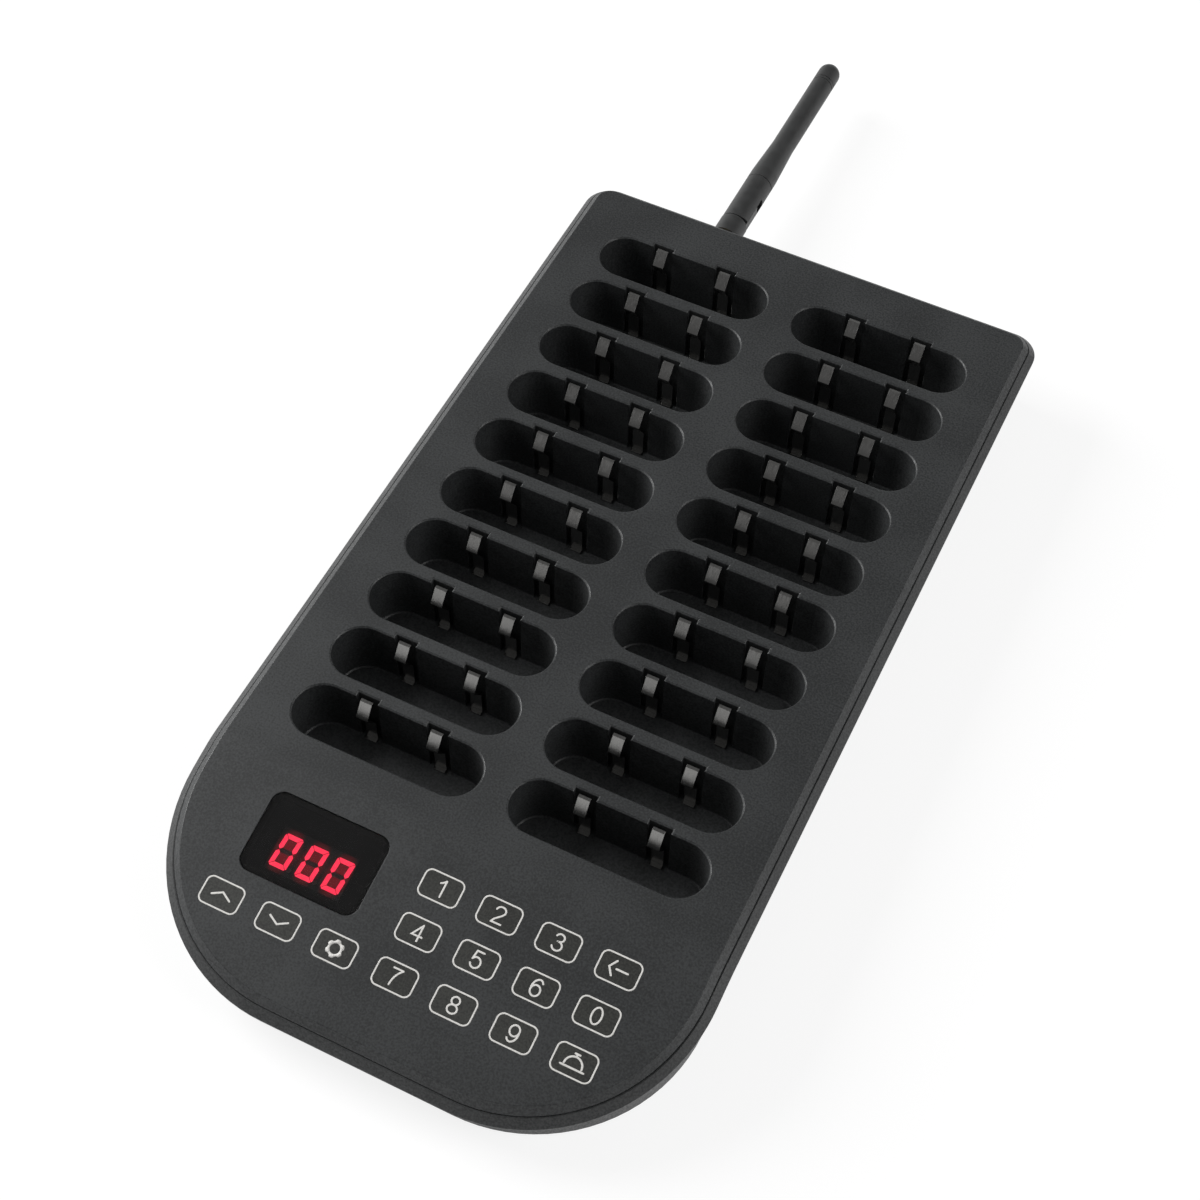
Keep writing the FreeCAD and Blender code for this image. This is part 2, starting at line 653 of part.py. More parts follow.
def revolve(body, sketch, axis_role):
    feature = body.newObject("PartDesign::Revolution", "revolution")
    feature.Profile = (sketch, [""])
    feature.ReferenceAxis = (origin_plane(body, axis_role), [""])
    feature.Angle = 360
    body.Tip = feature
    doc.recompute()
    return feature


def axis_of(body, role):
    return (origin_plane(body, role), [""])


def grid(body, features, rows, columns=None):
    """Repeats features: rows and columns are (axis role, length, count, reversed)."""
    feature = body.newObject("PartDesign::LinearPattern", "pattern")
    feature.Originals = features
    feature.Direction = axis_of(body, rows[0])
    bind(feature, "Length", rows[1])
    bind(feature, "Occurrences", rows[2])
    feature.Reversed = rows[3]
    if columns:
        feature.Direction2 = axis_of(body, columns[0])
        bind(feature, "Length2", columns[1])
        bind(feature, "Occurrences2", columns[2])
        feature.Reversed2 = columns[3]
    body.Tip = feature
    doc.recompute()
    return feature


def slot_grid(body, features):
    """Repeats what is made at the left column's rear slot over all twenty slots."""
    rows = ("Y_Axis", (slot_rows - 1) * slot_pitch, slot_rows, True)
    columns = ("X_Axis", column_offset * 2, 2, False)
    return grid(body, features, rows, columns)


def edge_names(shape, wanted):
    return [f"Edge{i + 1}" for i, edge in enumerate(shape.Edges) if wanted(edge)]


def dress(body, kind, wanted, amount):
    """Chamfers or fillets the edges of the body's tip that a test picks."""
    base = body.Tip
    names = edge_names(base.Shape, wanted)
    if not names:
        raise RuntimeError(f"no edge to dress in {body.Label}")
    feature = body.newObject(f"PartDesign::{kind}", kind.lower())
    feature.Base = (base, names)
    bind(feature, "Size" if kind == "Chamfer" else "Radius", amount)
    body.Tip = feature
    doc.recompute()
    return feature


def rim_edges(shape, facing):
    """Edges round the outside of all faces that look up (1) or down (-1)."""
    counts = {}
    for face in shape.Faces:
        u_low, u_high, v_low, v_high = face.ParameterRange
        normal = face.normalAt((u_low + u_high) / 2, (v_low + v_high) / 2)
        if normal.z * facing < 0.5:
            continue
        for edge in face.Edges:
            counts[edge.hashCode()] = counts.get(edge.hashCode(), 0) + 1
    return {code for code, count in counts.items() if count == 1}


def dress_rim(body, kind, facing, amount):
    codes = rim_edges(body.Tip.Shape, facing)
    return dress(body, kind, lambda edge: edge.hashCode() in codes, amount)


def at_level(edge, level):
    box = edge.BoundBox
    return abs(box.ZMin - level.value) < 1e-4 and abs(box.ZMax - level.value) < 1e-4


def place(thing, x=0, y=0, z=0):
    bind(thing, "Placement.Base.x", x)
    bind(thing, "Placement.Base.y", y)
    bind(thing, "Placement.Base.z", z)


def on_panel(body):
    """Puts a body in the panel's frame: origin on the fold, Y up the slope, Z out of it."""
    body.Placement = Placement(Vector(0, 0, 0), Rotation(Vector(1, 0, 0), slope_angle.value))
    bind(body, "Placement.Rotation.Angle", slope_angle)
    place(body, 0, fold_y, case_height)
    return body


def boolean(kind, label, *shapes):
    """Part::Cut, Part::Common or Part::MultiFuse of document objects."""
    result = doc.addObject(f"Part::{kind}", label)
    if kind == "MultiFuse":
        result.Shapes = list(shapes)
    else:
        result.Base = shapes[0]
        result.Tool = shapes[1]
    result.Label = label
    result.Refine = True
    doc.recompute()
    return result


def plate(label, path, bottom, thickness):
    """A body of one padded outline."""
    body = new_body(label)
    pad(body, trace(new_sketch(body, height=bottom), path), thickness)
    return body


parts = []


def keep(thing):
    """Notes a finished piece, which is exported under its label."""
    parts.append(thing)
    return thing


# ---------------------------------------------------------------- case

slot_centre = (-column_offset, first_row_y)


def contact_offsets():
    return (-contact_spacing / 2, contact_spacing / 2)


def cover_plate_body():
    """The cover's thin roof with its sloped edge."""
    body = plate("cover_plate", case_path(cover_inset), 0, case_height)
    roof_cut(body, 0, above=True)
    dress_rim(body, "Chamfer", 1, cover_chamfer)
    roof_cut(body, cover_thickness, above=False)
    return body


def cover_lip_body():
    """The lip that locates the cover inside the tray wall."""
    body = plate("cover_lip", case_path(lip_inset), 0, case_height)
    pocket(body, trace(new_sketch(body), case_path(lip_inset + lip_thickness)), flip=True)
    roof_cut(body, cover_thickness / 2, above=True)
    roof_cut(body, cover_thickness + lip_depth, above=False)
    return body


def cover_wells_body():
    """Twenty cups that hang from the roof, each with two bulges round its contact notches."""
    x, y = slot_centre
    body = new_body("cover_wells")
    root_bottom = case_height - cover_thickness
    sketch = new_sketch(body, height=root_bottom)
    reach_x = column_offset + slot_length / 2
    reach_y = (slot_rows - 1) * slot_pitch
    trace(sketch, box_path(-reach_x, reach_x, y - reach_y - slot_rear, y + slot_rear))
    pad(body, sketch, cover_thickness / 2)
    bottom = slot_floor - well_wall
    sketch = new_sketch(body, height=bottom)
    trace(sketch, stadium_path(x, y, slot_length + well_wall * 2, slot_width + well_wall * 2))
    cup = pad(body, sketch, case_height - cover_thickness / 2 - bottom)
    sketch = new_sketch(body, height=bottom)
    half = notch_width / 2 + well_wall
    for offset in contact_offsets():
        far = y + slot_rear + notch_depth + well_wall
        trace(sketch, box_path(x + offset - half, x + offset + half, y, far))
    bulge = pad(body, sketch, case_height - cover_thickness / 2 - bottom)
    slot_grid(body, [cup, bulge])
    return body


def cover_bosses():
    """Screw bosses under the cover, cut off inside the roof."""
    body = new_body("cover_bosses")
    sketch = new_sketch(body, height=tray_boss_top)
    for x, y in cover_screw_places:
        add_circle(sketch, x, y, cover_boss_radius)
    pad(body, sketch, case_height - tray_boss_top)
    roof_cut(body, cover_thickness / 2, above=True)
    return body


def key_bosses():
    """Bosses between the panel and the key board."""
    body = on_panel(new_body("key_bosses"))
    sketch = new_sketch(body, height=-key_board_drop)
    for x, y in key_screw_places:
        add_circle(sketch, x, y, key_boss_radius)
    pad(body, sketch, key_board_drop - cover_thickness / 2)
    return body


def module_path(grow):
    """The display module's outline, grown by a clearance."""
    half_x = module_width / 2 + grow
    half_y = module_height / 2 + grow
    return box_path(
        module_x - half_x, module_x + half_x, -module_drop - half_y, half_y - module_drop
    )


def window_cutter():
    """The window's recess and the opening through its ledge."""
    body = on_panel(new_body("window_cutter"))
    half_x = window_width / 2 + window_gap
    half_y = window_height / 2 + window_gap
    recess = window_thickness + window_sink + tape_thickness
    sketch = new_sketch(body, height=-recess)
    radius = window_radius + window_gap
    path = round_box_path(
        window_x - half_x, window_x + half_x, -window_drop - half_y, half_y - window_drop,
        radius, radius,
    )
    pad(body, trace(sketch, path), recess + 2)
    half_x = window_width / 2 - window_ledge
    half_y = window_height / 2 - window_ledge
    sketch = new_sketch(body, height=-recess)
    path = box_path(
        window_x - half_x, window_x + half_x, -window_drop - half_y, half_y - window_drop
    )
    pad(body, trace(sketch, path), cover_thickness * 2, flip=True)
    sketch = new_sketch(body, height=-recess)
    pad(body, trace(sketch, module_path(module_gap)), cover_thickness * 2, flip=True)
    return body


def pilot_holes():
    """Pilot holes of the cover's bosses and of the key board's bosses."""
    body = new_body("pilot_holes")
    sketch = new_sketch(body, height=tray_boss_top - 1)
    for x, y in cover_screw_places:
        add_circle(sketch, x, y, screw_radius + thread_gap)
    pad(body, sketch, head_seat + cover_screw_length - tray_boss_top + 1.3)
    tilted = on_panel(new_body("key_pilot_holes"))
    sketch = new_sketch(tilted, height=-key_board_drop - 1)
    for x, y in key_screw_places:
        add_circle(sketch, x, y, key_screw_radius + thread_gap)
    pad(tilted, sketch, key_screw_length - board_thickness + 1.2)
    return body, tilted


def notch_box(offset, depth, grow=0):
    """A contact notch's outline: offset from the slot's middle, depth into its rear wall."""
    x, y = slot_centre
    half = notch_width / 2 + grow
    wall = y + slot_rear
    return box_path(x + offset - half, x + offset + half, wall - notch_depth, wall + depth + grow)


def well_cutters():
    """The slots: a mouth with a small slope round it, the well, its notches and tail slits."""
    x, y = slot_centre
    body = new_body("well_cutters")
    mouth = case_height - slot_rim_round
    rise = slot_rim_round * 3
    wide = stadium_path(x, y, slot_length + slot_rim_round * 2, slot_width + slot_rim_round * 2)
    features = [pad(body, trace(new_sketch(body, height=mouth), wide), rise)]
    sketch = new_sketch(body, height=mouth)
    for offset in contact_offsets():
        trace(sketch, notch_box(offset, notch_depth, slot_rim_round))
    features.append(pad(body, sketch, rise))
    slot_grid(body, features)
    dress(body, "Chamfer", lambda edge: at_level(edge, mouth), slot_rim_round)
    depth = slot_depth - slot_rim_round / 2
    inset = well_foot * 2
    foot = stadium_path(x, y, slot_length - inset, slot_width - inset)
    slope = pad(body, trace(new_sketch(body, height=slot_floor), foot), well_foot)
    bind(slope, "TaperAngle", 45)
    sketch = new_sketch(body, height=slot_floor + well_foot)
    trace(sketch, stadium_path(x, y, slot_length, slot_width))
    features = [slope, pad(body, sketch, depth - well_foot)]
    sketch = new_sketch(body, height=slot_floor)
    for offset in contact_offsets():
        trace(sketch, notch_box(offset, notch_depth))
    features.append(pad(body, sketch, depth))
    half = tail_width / 2 + tail_gap
    sketch = new_sketch(body, height=slot_floor - well_wall * 2)
    for offset in contact_offsets():
        middle = y + leaf_plane + leaf_thickness / 2
        trace(sketch, box_path(x + offset - half, x + offset + half, middle - half, middle + half))
    features.append(pad(body, sketch, well_wall * 3))
    slot_grid(body, features)
    return body


def make_top_cover():
    """The cover: roof, lip, wells and bosses in one moulding."""
    blank = boolean(
        "MultiFuse", "cover_blank",
        cover_plate_body(), cover_lip_body(), cover_wells_body(), cover_bosses(), key_bosses(),
    )
    cutters = boolean(
        "MultiFuse", "cover_cutters", window_cutter(), well_cutters(), *pilot_holes()
    )
    return keep(boolean("Cut", "top_cover", blank, cutters))


def make_base_tray():
    """The tray: bevelled rim, undercut wall, floor with bosses, and the rear wall's openings."""
    rim = plate("tray_rim", case_path(0), 0, case_height)
    roof_cut(rim, rim_drop, above=True)
    dress_rim(rim, "Chamfer", 1, rim_bevel)
    roof_cut(rim, rim_bottom_drop, above=False)
    dress_rim(rim, "Chamfer", -1, undercut)
    wall = plate("tray_wall", case_path(undercut), tray_bottom, case_height - tray_bottom)
    roof_cut(wall, (rim_drop + rim_bottom_drop) / 2, above=True)
    shell = boolean("MultiFuse", "tray_shell", rim, wall)
    cavity = plate("tray_cavity", case_path(cavity_inset), floor_top, case_height)
    seat = plate("cover_seat", case_path(cover_inset - seam_gap), 0, case_height)
    roof_cut(seat, cover_thickness, above=False)
    hollow = boolean("Cut", "tray_hollow", shell, boolean("MultiFuse", "tray_cuts", cavity, seat))

    body = body_from("base_tray", hollow)
    sketch = new_sketch(body, height=tray_bottom)
    for x, y in cover_screw_places:
        add_circle(sketch, x, y, tray_boss_radius)
    pad(body, sketch, tray_boss_height)
    sketch = new_sketch(body, height=tray_bottom)
    for x, y in board_screw_places:
        add_circle(sketch, x, y, board_boss_radius)
    pad(body, sketch, floor_thickness + board_gap)
    sketch = new_sketch(body, height=tray_boss_top)
    for x, y in cover_screw_places:
        add_circle(sketch, x, y, screw_radius + clearance_gap)
    pocket(body, sketch)
    sketch = new_sketch(body, height=head_seat)
    for x, y in cover_screw_places:
        add_circle(sketch, x, y, screw_head_radius + clearance_gap)
    pocket(body, sketch)
    sketch = new_sketch(body, height=board_bottom)
    for x, y in board_screw_places:
        add_circle(sketch, x, y, screw_radius + thread_gap)
    pocket(body, sketch, board_screw_length - board_thickness + 0.2)
    sketch = new_sketch(body, height=tray_bottom + foot_recess)
    for x, y in foot_places:
        add_circle(sketch, x, y, foot_radius + fit_gap)
    pocket(body, sketch)

    sketch = new_sketch(body, "XZ_Plane", height=-(rear_inside - lip_gap))
    add_circle(sketch, -column_offset, antenna_height, barrel_radius + fit_gap)
    add_circle(sketch, inlet_x, board_top + inlet_axis, inlet_mouth)
    half = (slider_width + switch_travel) / 2 + clearance_gap
    low = board_top + switch_height / 2 - slider_height / 2 - clearance_gap
    high = low + slider_height + clearance_gap * 2
    trace(sketch, box_path(switch_x - half, switch_x + half, low, high))
    pocket(body, sketch)
    return keep(body)


# ---------------------------------------------------------------- screws and feet


def screws(label, places, seat, length, radius, facing):
    """Pan head screws in one group; facing is 1 with the heads up, -1 with the heads down."""
    body = new_body(label)
    sketch = new_sketch(body, height=seat)
    for x, y in places:
        add_circle(sketch, x, y, screw_head_radius)
    pad(body, sketch, screw_head_height, flip=facing < 0)
    outer = seat + screw_head_height * facing
    dress(body, "Fillet", lambda edge: at_level(edge, outer), screw_head_round)
    sketch = new_sketch(body, height=seat)
    for x, y in places:
        add_circle(sketch, x, y, radius)
    pad(body, sketch, length, flip=facing > 0)
    for along, across in ((recess_length, recess_width), (recess_width, recess_length)):
        sketch = new_sketch(body, height=outer)
        for x, y in places:
            path = box_path(x - along / 2, x + along / 2, y - across / 2, y + across / 2)
            trace(sketch, path)
        pocket(body, sketch, recess_depth, flip=facing < 0)
    return keep(body)


def make_feet():
    body = new_body("rubber_feet")
    sketch = new_sketch(body)
    for x, y in foot_places:
        add_circle(sketch, x, y, foot_radius)
    pad(body, sketch, foot_height + foot_recess)
    dress(body, "Chamfer", lambda edge: at_level(edge, as_size(0)), foot_edge)
    return keep(body)


# ---------------------------------------------------------------- leaf contacts


def leaf_form(offset):
    """One bent leaf at a slot's own origin: slot centre, cover's face level."""
    body = new_body("leaf_form")
    back = leaf_plane + leaf_thickness
    front = leaf_plane
    thin = leaf_thickness
    top = -leaf_top_drop
    nose_y = slot_rear - leaf_nose_reach
    crest = slot_rear - leaf_crest
    end = slot_rear + leaf_end
    foot = leaf_floor_gap - slot_depth
    path = [
        (back, foot),
        (back, -leaf_heel_drop),
        (nose_y + thin * 1.25, -leaf_nose_drop),
        (crest + thin * 1.3, top - thin),
        (end - thin, top - thin),
        (end - thin, top - leaf_hook),
        (end, top - leaf_hook),
        (end, top),
        (crest, top),
        (nose_y, -leaf_nose_drop),
        (front, -leaf_heel_drop),
        (front, foot + thin),
        (front - leaf_tab, foot + thin),
        (front - leaf_tab, foot),
    ]
    sketch = trace(new_sketch(body, "YZ_Plane", height=offset), path)
    pad(body, sketch, leaf_width, midplane=True)
    sketch = new_sketch(body, "YZ_Plane", height=offset)
    tail_end = board_bottom - case_height - 0.3
    trace(sketch, box_path(front, back, tail_end, foot + thin))
    pad(body, sketch, tail_width, midplane=True)

    def at_nose(edge):
        middle = edge.CenterOfMass
        near = abs(middle.z + leaf_nose_drop.value) < 0.05
        return near and middle.y < slot_rear.value - 1 and edge.BoundBox.XLength > 1

    dress(body, "Fillet", at_nose, leaf_round)
    return body


def make_contacts():
    """Twenty pairs of leaves, each a group of its own at its slot."""
    leaves = [leaf_form(offset) for offset in contact_offsets()]
    for side, sign in (("left", -1), ("right", 1)):
        for row in range(int(slot_rows.value)):
            pair = doc.addObject("Part::Compound", f"contacts_{side}_{row + 1:02d}")
            pair.Label = f"contacts_{side}_{row + 1:02d}"
            pair.Links = leaves
            place(pair, column_offset * sign, first_row_y - slot_pitch * row, case_height)
            keep(pair)
    doc.recompute()


# ---------------------------------------------------------------- panel


def make_window():
    body = on_panel(new_body("display_window"))
    half_x = window_width / 2
    half_y = window_height / 2
    path = round_box_path(
        window_x - half_x, window_x + half_x, -window_drop - half_y, half_y - window_drop,
        window_radius, window_radius,
    )
    sketch = new_sketch(body, height=-window_sink - window_thickness)
    pad(body, trace(sketch, path), window_thickness)
    dress(
        body, "Chamfer",
        lambda edge: at_level(edge, -window_sink),
        window_gap * 2,
    )
    return keep(body)


def make_window_tape():
    body = on_panel(new_body("window_tape"))
    sketch = new_sketch(body, height=-window_sink - window_thickness - tape_thickness)
    for edge in (fit_gap, tape_width):
        half_x = window_width / 2 - edge
        half_y = window_height / 2 - edge
        path = round_box_path(
            window_x - half_x, window_x + half_x, -window_drop - half_y, half_y - window_drop,
            window_radius - edge, window_radius - edge,
        )
        trace(sketch, path)
    pad(body, sketch, tape_thickness)
    return keep(body)


def digit_outlines(sketch, grow):
    """The left digit: seven leaning segments and its decimal point."""
    middle = module_x - digit_pitch
    reach_x = (digit_width - segment_width) / 2
    reach_y = (digit_height - segment_width) / 2
    half = segment_width / 2 + grow
    lean = tangent(digit_slant)

    def outline(points):
        trace(sketch, [(middle + x + y * lean, y - module_drop) for x, y in points])

    tip = reach_x - segment_gap + grow
    flat = tip - half
    low = segment_gap - grow
    high = reach_y - segment_gap + grow
    cut = half - segment_corner
    mitre = half - segment_corner / 2
    outline([(-tip, 0), (-flat, -half), (flat, -half), (tip, 0), (flat, half), (-flat, half)])
    for level in (-1, 1):
        y = reach_y * level
        outline([
            (-flat, y - half * level), (flat, y - half * level),
            (tip + mitre, y + mitre * level), (tip + cut, y + half * level),
            (-tip - cut, y + half * level), (-tip - mitre, y + mitre * level),
        ])
        for side in (-1, 1):
            x = reach_x * side
            outline([
                (x, low * level), (x + half * side, (low + half) * level),
                (x + half * side, (high + cut) * level),
                (x + mitre * side, (high + mitre) * level),
                (x - half * side, (high - half) * level), (x - half * side, (low + half) * level),
            ])
    point_x = middle + digit_width / 2 + point_radius * 1.3 - digit_height / 2 * lean
    add_circle(sketch, point_x, point_radius - module_drop - digit_height / 2, point_radius + grow)
    return sketch


def make_display():
    """The three digit module and the clear segments that fill its light wells."""
    digits = ("X_Axis", digit_pitch * 2, 3, False)
    body = on_panel(new_body("display_module"))
    pad(body, trace(new_sketch(body, height=-key_board_drop), module_path(as_size(0))), module_depth)
    face = module_depth - key_board_drop
    wells = pocket(
        body, digit_outlines(new_sketch(body, height=face), segment_fit), segment_depth
    )
    grid(body, [wells], digits)
    keep(body)

    body = on_panel(new_body("digit_segments"))
    sketch = digit_outlines(new_sketch(body, height=face - segment_depth), as_size(0))
    grid(body, [pad(body, sketch, segment_depth)], digits)
    return keep(body)


def key_places():
    """Centres of the fifteen touch keys in the panel's frame."""
    places = []
    for row, count in ((0, 4), (1, 4), (2, 4)):
        for column in range(count):
            x = key_column_first + key_column_pitch * column
            places.append((x, -(key_row_first + key_row_pitch * row)))
    for column in range(3):
        x = side_key_first + key_column_pitch * column
        places.append((x, -(key_row_first + key_row_pitch * 2)))
    return places


def make_key_board():
    body = on_panel(new_body("key_board"))
    path = round_box_path(
        -key_board_half, key_board_half, -key_board_reach, -key_board_top,
        key_board_corner, as_size(1),
    )
    sketch = trace(new_sketch(body, height=-key_board_drop), path)
    pad(body, sketch, board_thickness, flip=True)
    sketch = new_sketch(body, height=-key_board_drop)
    for x, y in key_screw_places:
        add_circle(sketch, x, y, key_screw_radius + clearance_gap)
    pocket(body, sketch)
    return keep(body)


def make_key_screws():
    body = on_panel(new_body("key_board_screws"))
    seat = -key_board_drop - board_thickness
    sketch = new_sketch(body, height=seat)
    for x, y in key_screw_places:
        add_circle(sketch, x, y, key_screw_head)
    pad(body, sketch, screw_head_height, flip=True)
    outer = seat - screw_head_height
    dress(body, "Fillet", lambda edge: at_level(edge, outer), screw_head_round)
    sketch = new_sketch(body, height=seat)
    for x, y in key_screw_places:
        add_circle(sketch, x, y, key_screw_radius)
    pad(body, sketch, key_screw_length)
    return keep(body)


def make_touch_springs():
    """Springs that carry each key's touch from the board to the panel's underside."""
    body = on_panel(new_body("touch_springs"))
    height = key_board_drop - underside - spring_gap
    sketch = new_sketch(body, height=-key_board_drop)
    for x, y in key_places():
        add_circle(sketch, x, y, spring_radius)
    pad(body, sketch, height)
    sketch = new_sketch(body, height=-key_board_drop + height - spring_cap)
    for x, y in key_places():
        add_circle(sketch, x, y, spring_radius - spring_wire)
    pocket(body, sketch)
    return keep(body)


def block(label, x, y, z, length, depth, height, panel=False):
    """A moulded electronic component: a box with its upper edges chamfered."""
    body = new_body(label)
    if panel:
        on_panel(body)
    path = box_path(x - length / 2, x + length / 2, y - depth / 2, y + depth / 2)
    pad(body, trace(new_sketch(body, height=z), path), height)
    top = z + height
    dress(body, "Chamfer", lambda line: at_level(line, top), block_edge)
    return keep(body)


# ---------------------------------------------------------------- electronics

chip_row_y = board_front_y + chip_row_inset
header_y = board_front_y + header_inset
key_header_drop = key_board_top + key_header_inset


def make_main_board():
    body = new_body("main_board")
    path = box_path(-board_half_width, board_half_width, board_front_y, board_rear_y)
    pad(body, trace(new_sketch(body, height=board_bottom), path), board_thickness)
    sketch = new_sketch(body, height=board_top)
    for x, y in board_screw_places:
        add_circle(sketch, x, y, screw_radius + clearance_gap)
    pocket(body, sketch)
    x, y = slot_centre
    sketch = new_sketch(body, height=board_top)
    for offset in contact_offsets():
        middle = y + leaf_plane + leaf_thickness / 2
        add_circle(sketch, x + offset, middle, tail_width / 2 + tail_gap)
    holes = pocket(body, sketch)
    slot_grid(body, [holes])
    return keep(body)


def make_charge_chips():
    """One charging chip for each row of two slots, between the columns."""
    body = new_body("charge_chips")
    half = charge_chip_side / 2
    path = box_path(-half, half, first_row_y - half, first_row_y + half)
    chip = pad(body, trace(new_sketch(body, height=board_top), path), charge_chip_height)
    grid(body, [chip], ("Y_Axis", (slot_rows - 1) * slot_pitch, slot_rows, True))
    return keep(body)


def make_capacitors():
    body = new_body("filter_capacitors")
    sketch = new_sketch(body, height=board_top)
    for x in (inlet_x + capacitor_gap, inlet_x + capacitor_gap + capacitor_pitch):
        add_circle(sketch, x, board_rear_y - rear_row_inset, capacitor_radius)
    pad(body, sketch, capacitor_height)
    return keep(body)


def make_power_coil():
    """A drum coil: two cheeks and the winding between them."""
    body = new_body("power_coil")
    place(body, inlet_x - coil_gap, board_rear_y - rear_row_inset, board_top)
    upper = coil_height - coil_cheek
    path = [
        (0, 0), (coil_radius, 0), (coil_radius, coil_cheek), (coil_winding, coil_cheek),
        (coil_winding, upper), (coil_radius, upper), (coil_radius, coil_height), (0, coil_height),
    ]
    revolve(body, trace(new_sketch(body, "XZ_Plane"), path), "Z_Axis")
    return keep(body)


def make_buzzer():
    """A round sounder with the sound hole in its top."""
    body = new_body("buzzer")
    place(body, buzzer_x, chip_row_y, board_top)
    path = [
        (buzzer_hole, 0), (buzzer_radius, 0), (buzzer_radius, buzzer_height - buzzer_edge),
        (buzzer_radius - buzzer_edge, buzzer_height), (buzzer_hole, buzzer_height),
    ]
    revolve(body, trace(new_sketch(body, "XZ_Plane"), path), "Z_Axis")
    sketch = new_sketch(body)
    add_circle(sketch, 0, 0, buzzer_hole)
    pad(body, sketch, buzzer_height / 2)
    return keep(body)


def make_ribbon():
    """A flat cable between the two headers, bent twice."""
    body = new_body("ribbon_cable")
    half = ribbon_thickness / 2
    y_low = header_y
    z_low = board_top + header_height
    lean = slope_angle
    header_reach = key_board_drop + board_thickness + key_header_height
    y_high = fold_y - key_header_drop * cosine(lean) + header_reach * sine(lean)
    z_high = case_height - key_header_drop * sine(lean) - header_reach * cosine(lean)
    z_high = z_high - half * tangent(lean)
    level = (z_low + z_high) / 2
    inner = ribbon_bend
    path = [
        (y_low - half, z_low),
        (y_low + half, z_low),
        (y_low + half, level - half - inner, arc(y_low + half + inner, level - half - inner, -1)),
        (y_low + half + inner, level - half),
        (y_high - half - inner, level - half,
         arc(y_high - half - inner, level + half + inner)),
        (y_high + half, level + half + inner),
        (y_high + half, z_high),
        (y_high - half, z_high),
        (y_high - half, level + half + inner,
         arc(y_high - half - inner, level + half + inner, -1)),
        (y_high - half - inner, level + half),
        (y_low + half + inner, level + half,
         arc(y_low + half + inner, level - half - inner)),
        (y_low - half, level - half - inner),
    ]
    sketch = trace(new_sketch(body, "YZ_Plane", height=header_x), path)
    pad(body, sketch, ribbon_width, midplane=True)
    return keep(body)


def make_radio():
    """An upright radio board with its shielding can."""
    body = new_body("radio_module")
    x = radio_offset - column_offset
    half = radio_thickness / 2
    rear = board_rear_y - radio_setback
    front = rear - radio_depth
    path = box_path(x - half, x + half, front, rear)
    pad(body, trace(new_sketch(body, height=board_top), path), radio_height)
    path = box_path(x, x + half + can_thickness, front + can_inset, rear - can_inset)
    pad(body, trace(new_sketch(body, height=board_top + can_rise), path), can_height)
    return keep(body)


def make_antenna_lead():
    """The short coaxial lead from the jack to the radio board."""
    body = new_body("antenna_lead")
    place(body, -column_offset, rear_inside - jack_flange, antenna_height)
    spine = new_sketch(body)
    run = lead_run - lead_bend
    corner = -lead_run
    end_x = radio_offset - radio_thickness / 2
    line = spine.addGeometry(Part.LineSegment(Vector(0, 0, 0), Vector(0, -run.value, 0)))
    circle = Part.Circle(
        Vector(lead_bend.value, -run.value, 0), Vector(0, 0, 1), lead_bend.value
    )
    bend = spine.addGeometry(Part.ArcOfCircle(circle, math.pi, math.pi * 1.5))
    rest = spine.addGeometry(
        Part.LineSegment(
            Vector(lead_bend.value, corner.value, 0), Vector(end_x.value, corner.value, 0)
        )
    )
    spine.addConstraint(Sketcher.Constraint("Coincident", line, 2, bend, 1))
    spine.addConstraint(Sketcher.Constraint("Coincident", bend, 2, rest, 1))
    pin_down(spine, line, 1, as_size(0), as_size(0))
    pin_down(spine, line, 2, as_size(0), -run)
    pin_down(spine, rest, 1, lead_bend, corner)
    pin_down(spine, rest, 2, end_x, corner)
    index = spine.addConstraint(Sketcher.Constraint("Radius", bend, lead_bend.value))
    spine.setExpression(f"Constraints[{index}]", lead_bend.formula)
    section = new_sketch(body, "XZ_Plane")
    add_circle(section, 0, 0, lead_radius)
    pipe = body.newObject("PartDesign::AdditivePipe", "pipe")
    pipe.Profile = (section, [""])
    pipe.Spine = (spine, [""])
    body.Tip = pipe
    doc.recompute()
    return keep(body)


def make_inlet():
    """The DC inlet: a moulded body with a bore and its centre pin."""
    body = new_body("dc_inlet")
    face = rear_inside - fit_gap
    path = box_path(
        inlet_x - inlet_width / 2, inlet_x + inlet_width / 2, face - inlet_depth, face
    )
    pad(body, trace(new_sketch(body, height=board_top), path), inlet_height)
    axis_z = board_top + inlet_axis
    sketch = new_sketch(body, "XZ_Plane", height=-face)
    add_circle(sketch, inlet_x, axis_z, inlet_bore)
    pocket(body, sketch, inlet_bore_depth, flip=True)
    sketch = new_sketch(body, "XZ_Plane", height=inlet_bore_depth - face)
    add_circle(sketch, inlet_x, axis_z, inlet_pin)
    pad(body, sketch, inlet_bore_depth - 1, flip=True)
    return keep(body)


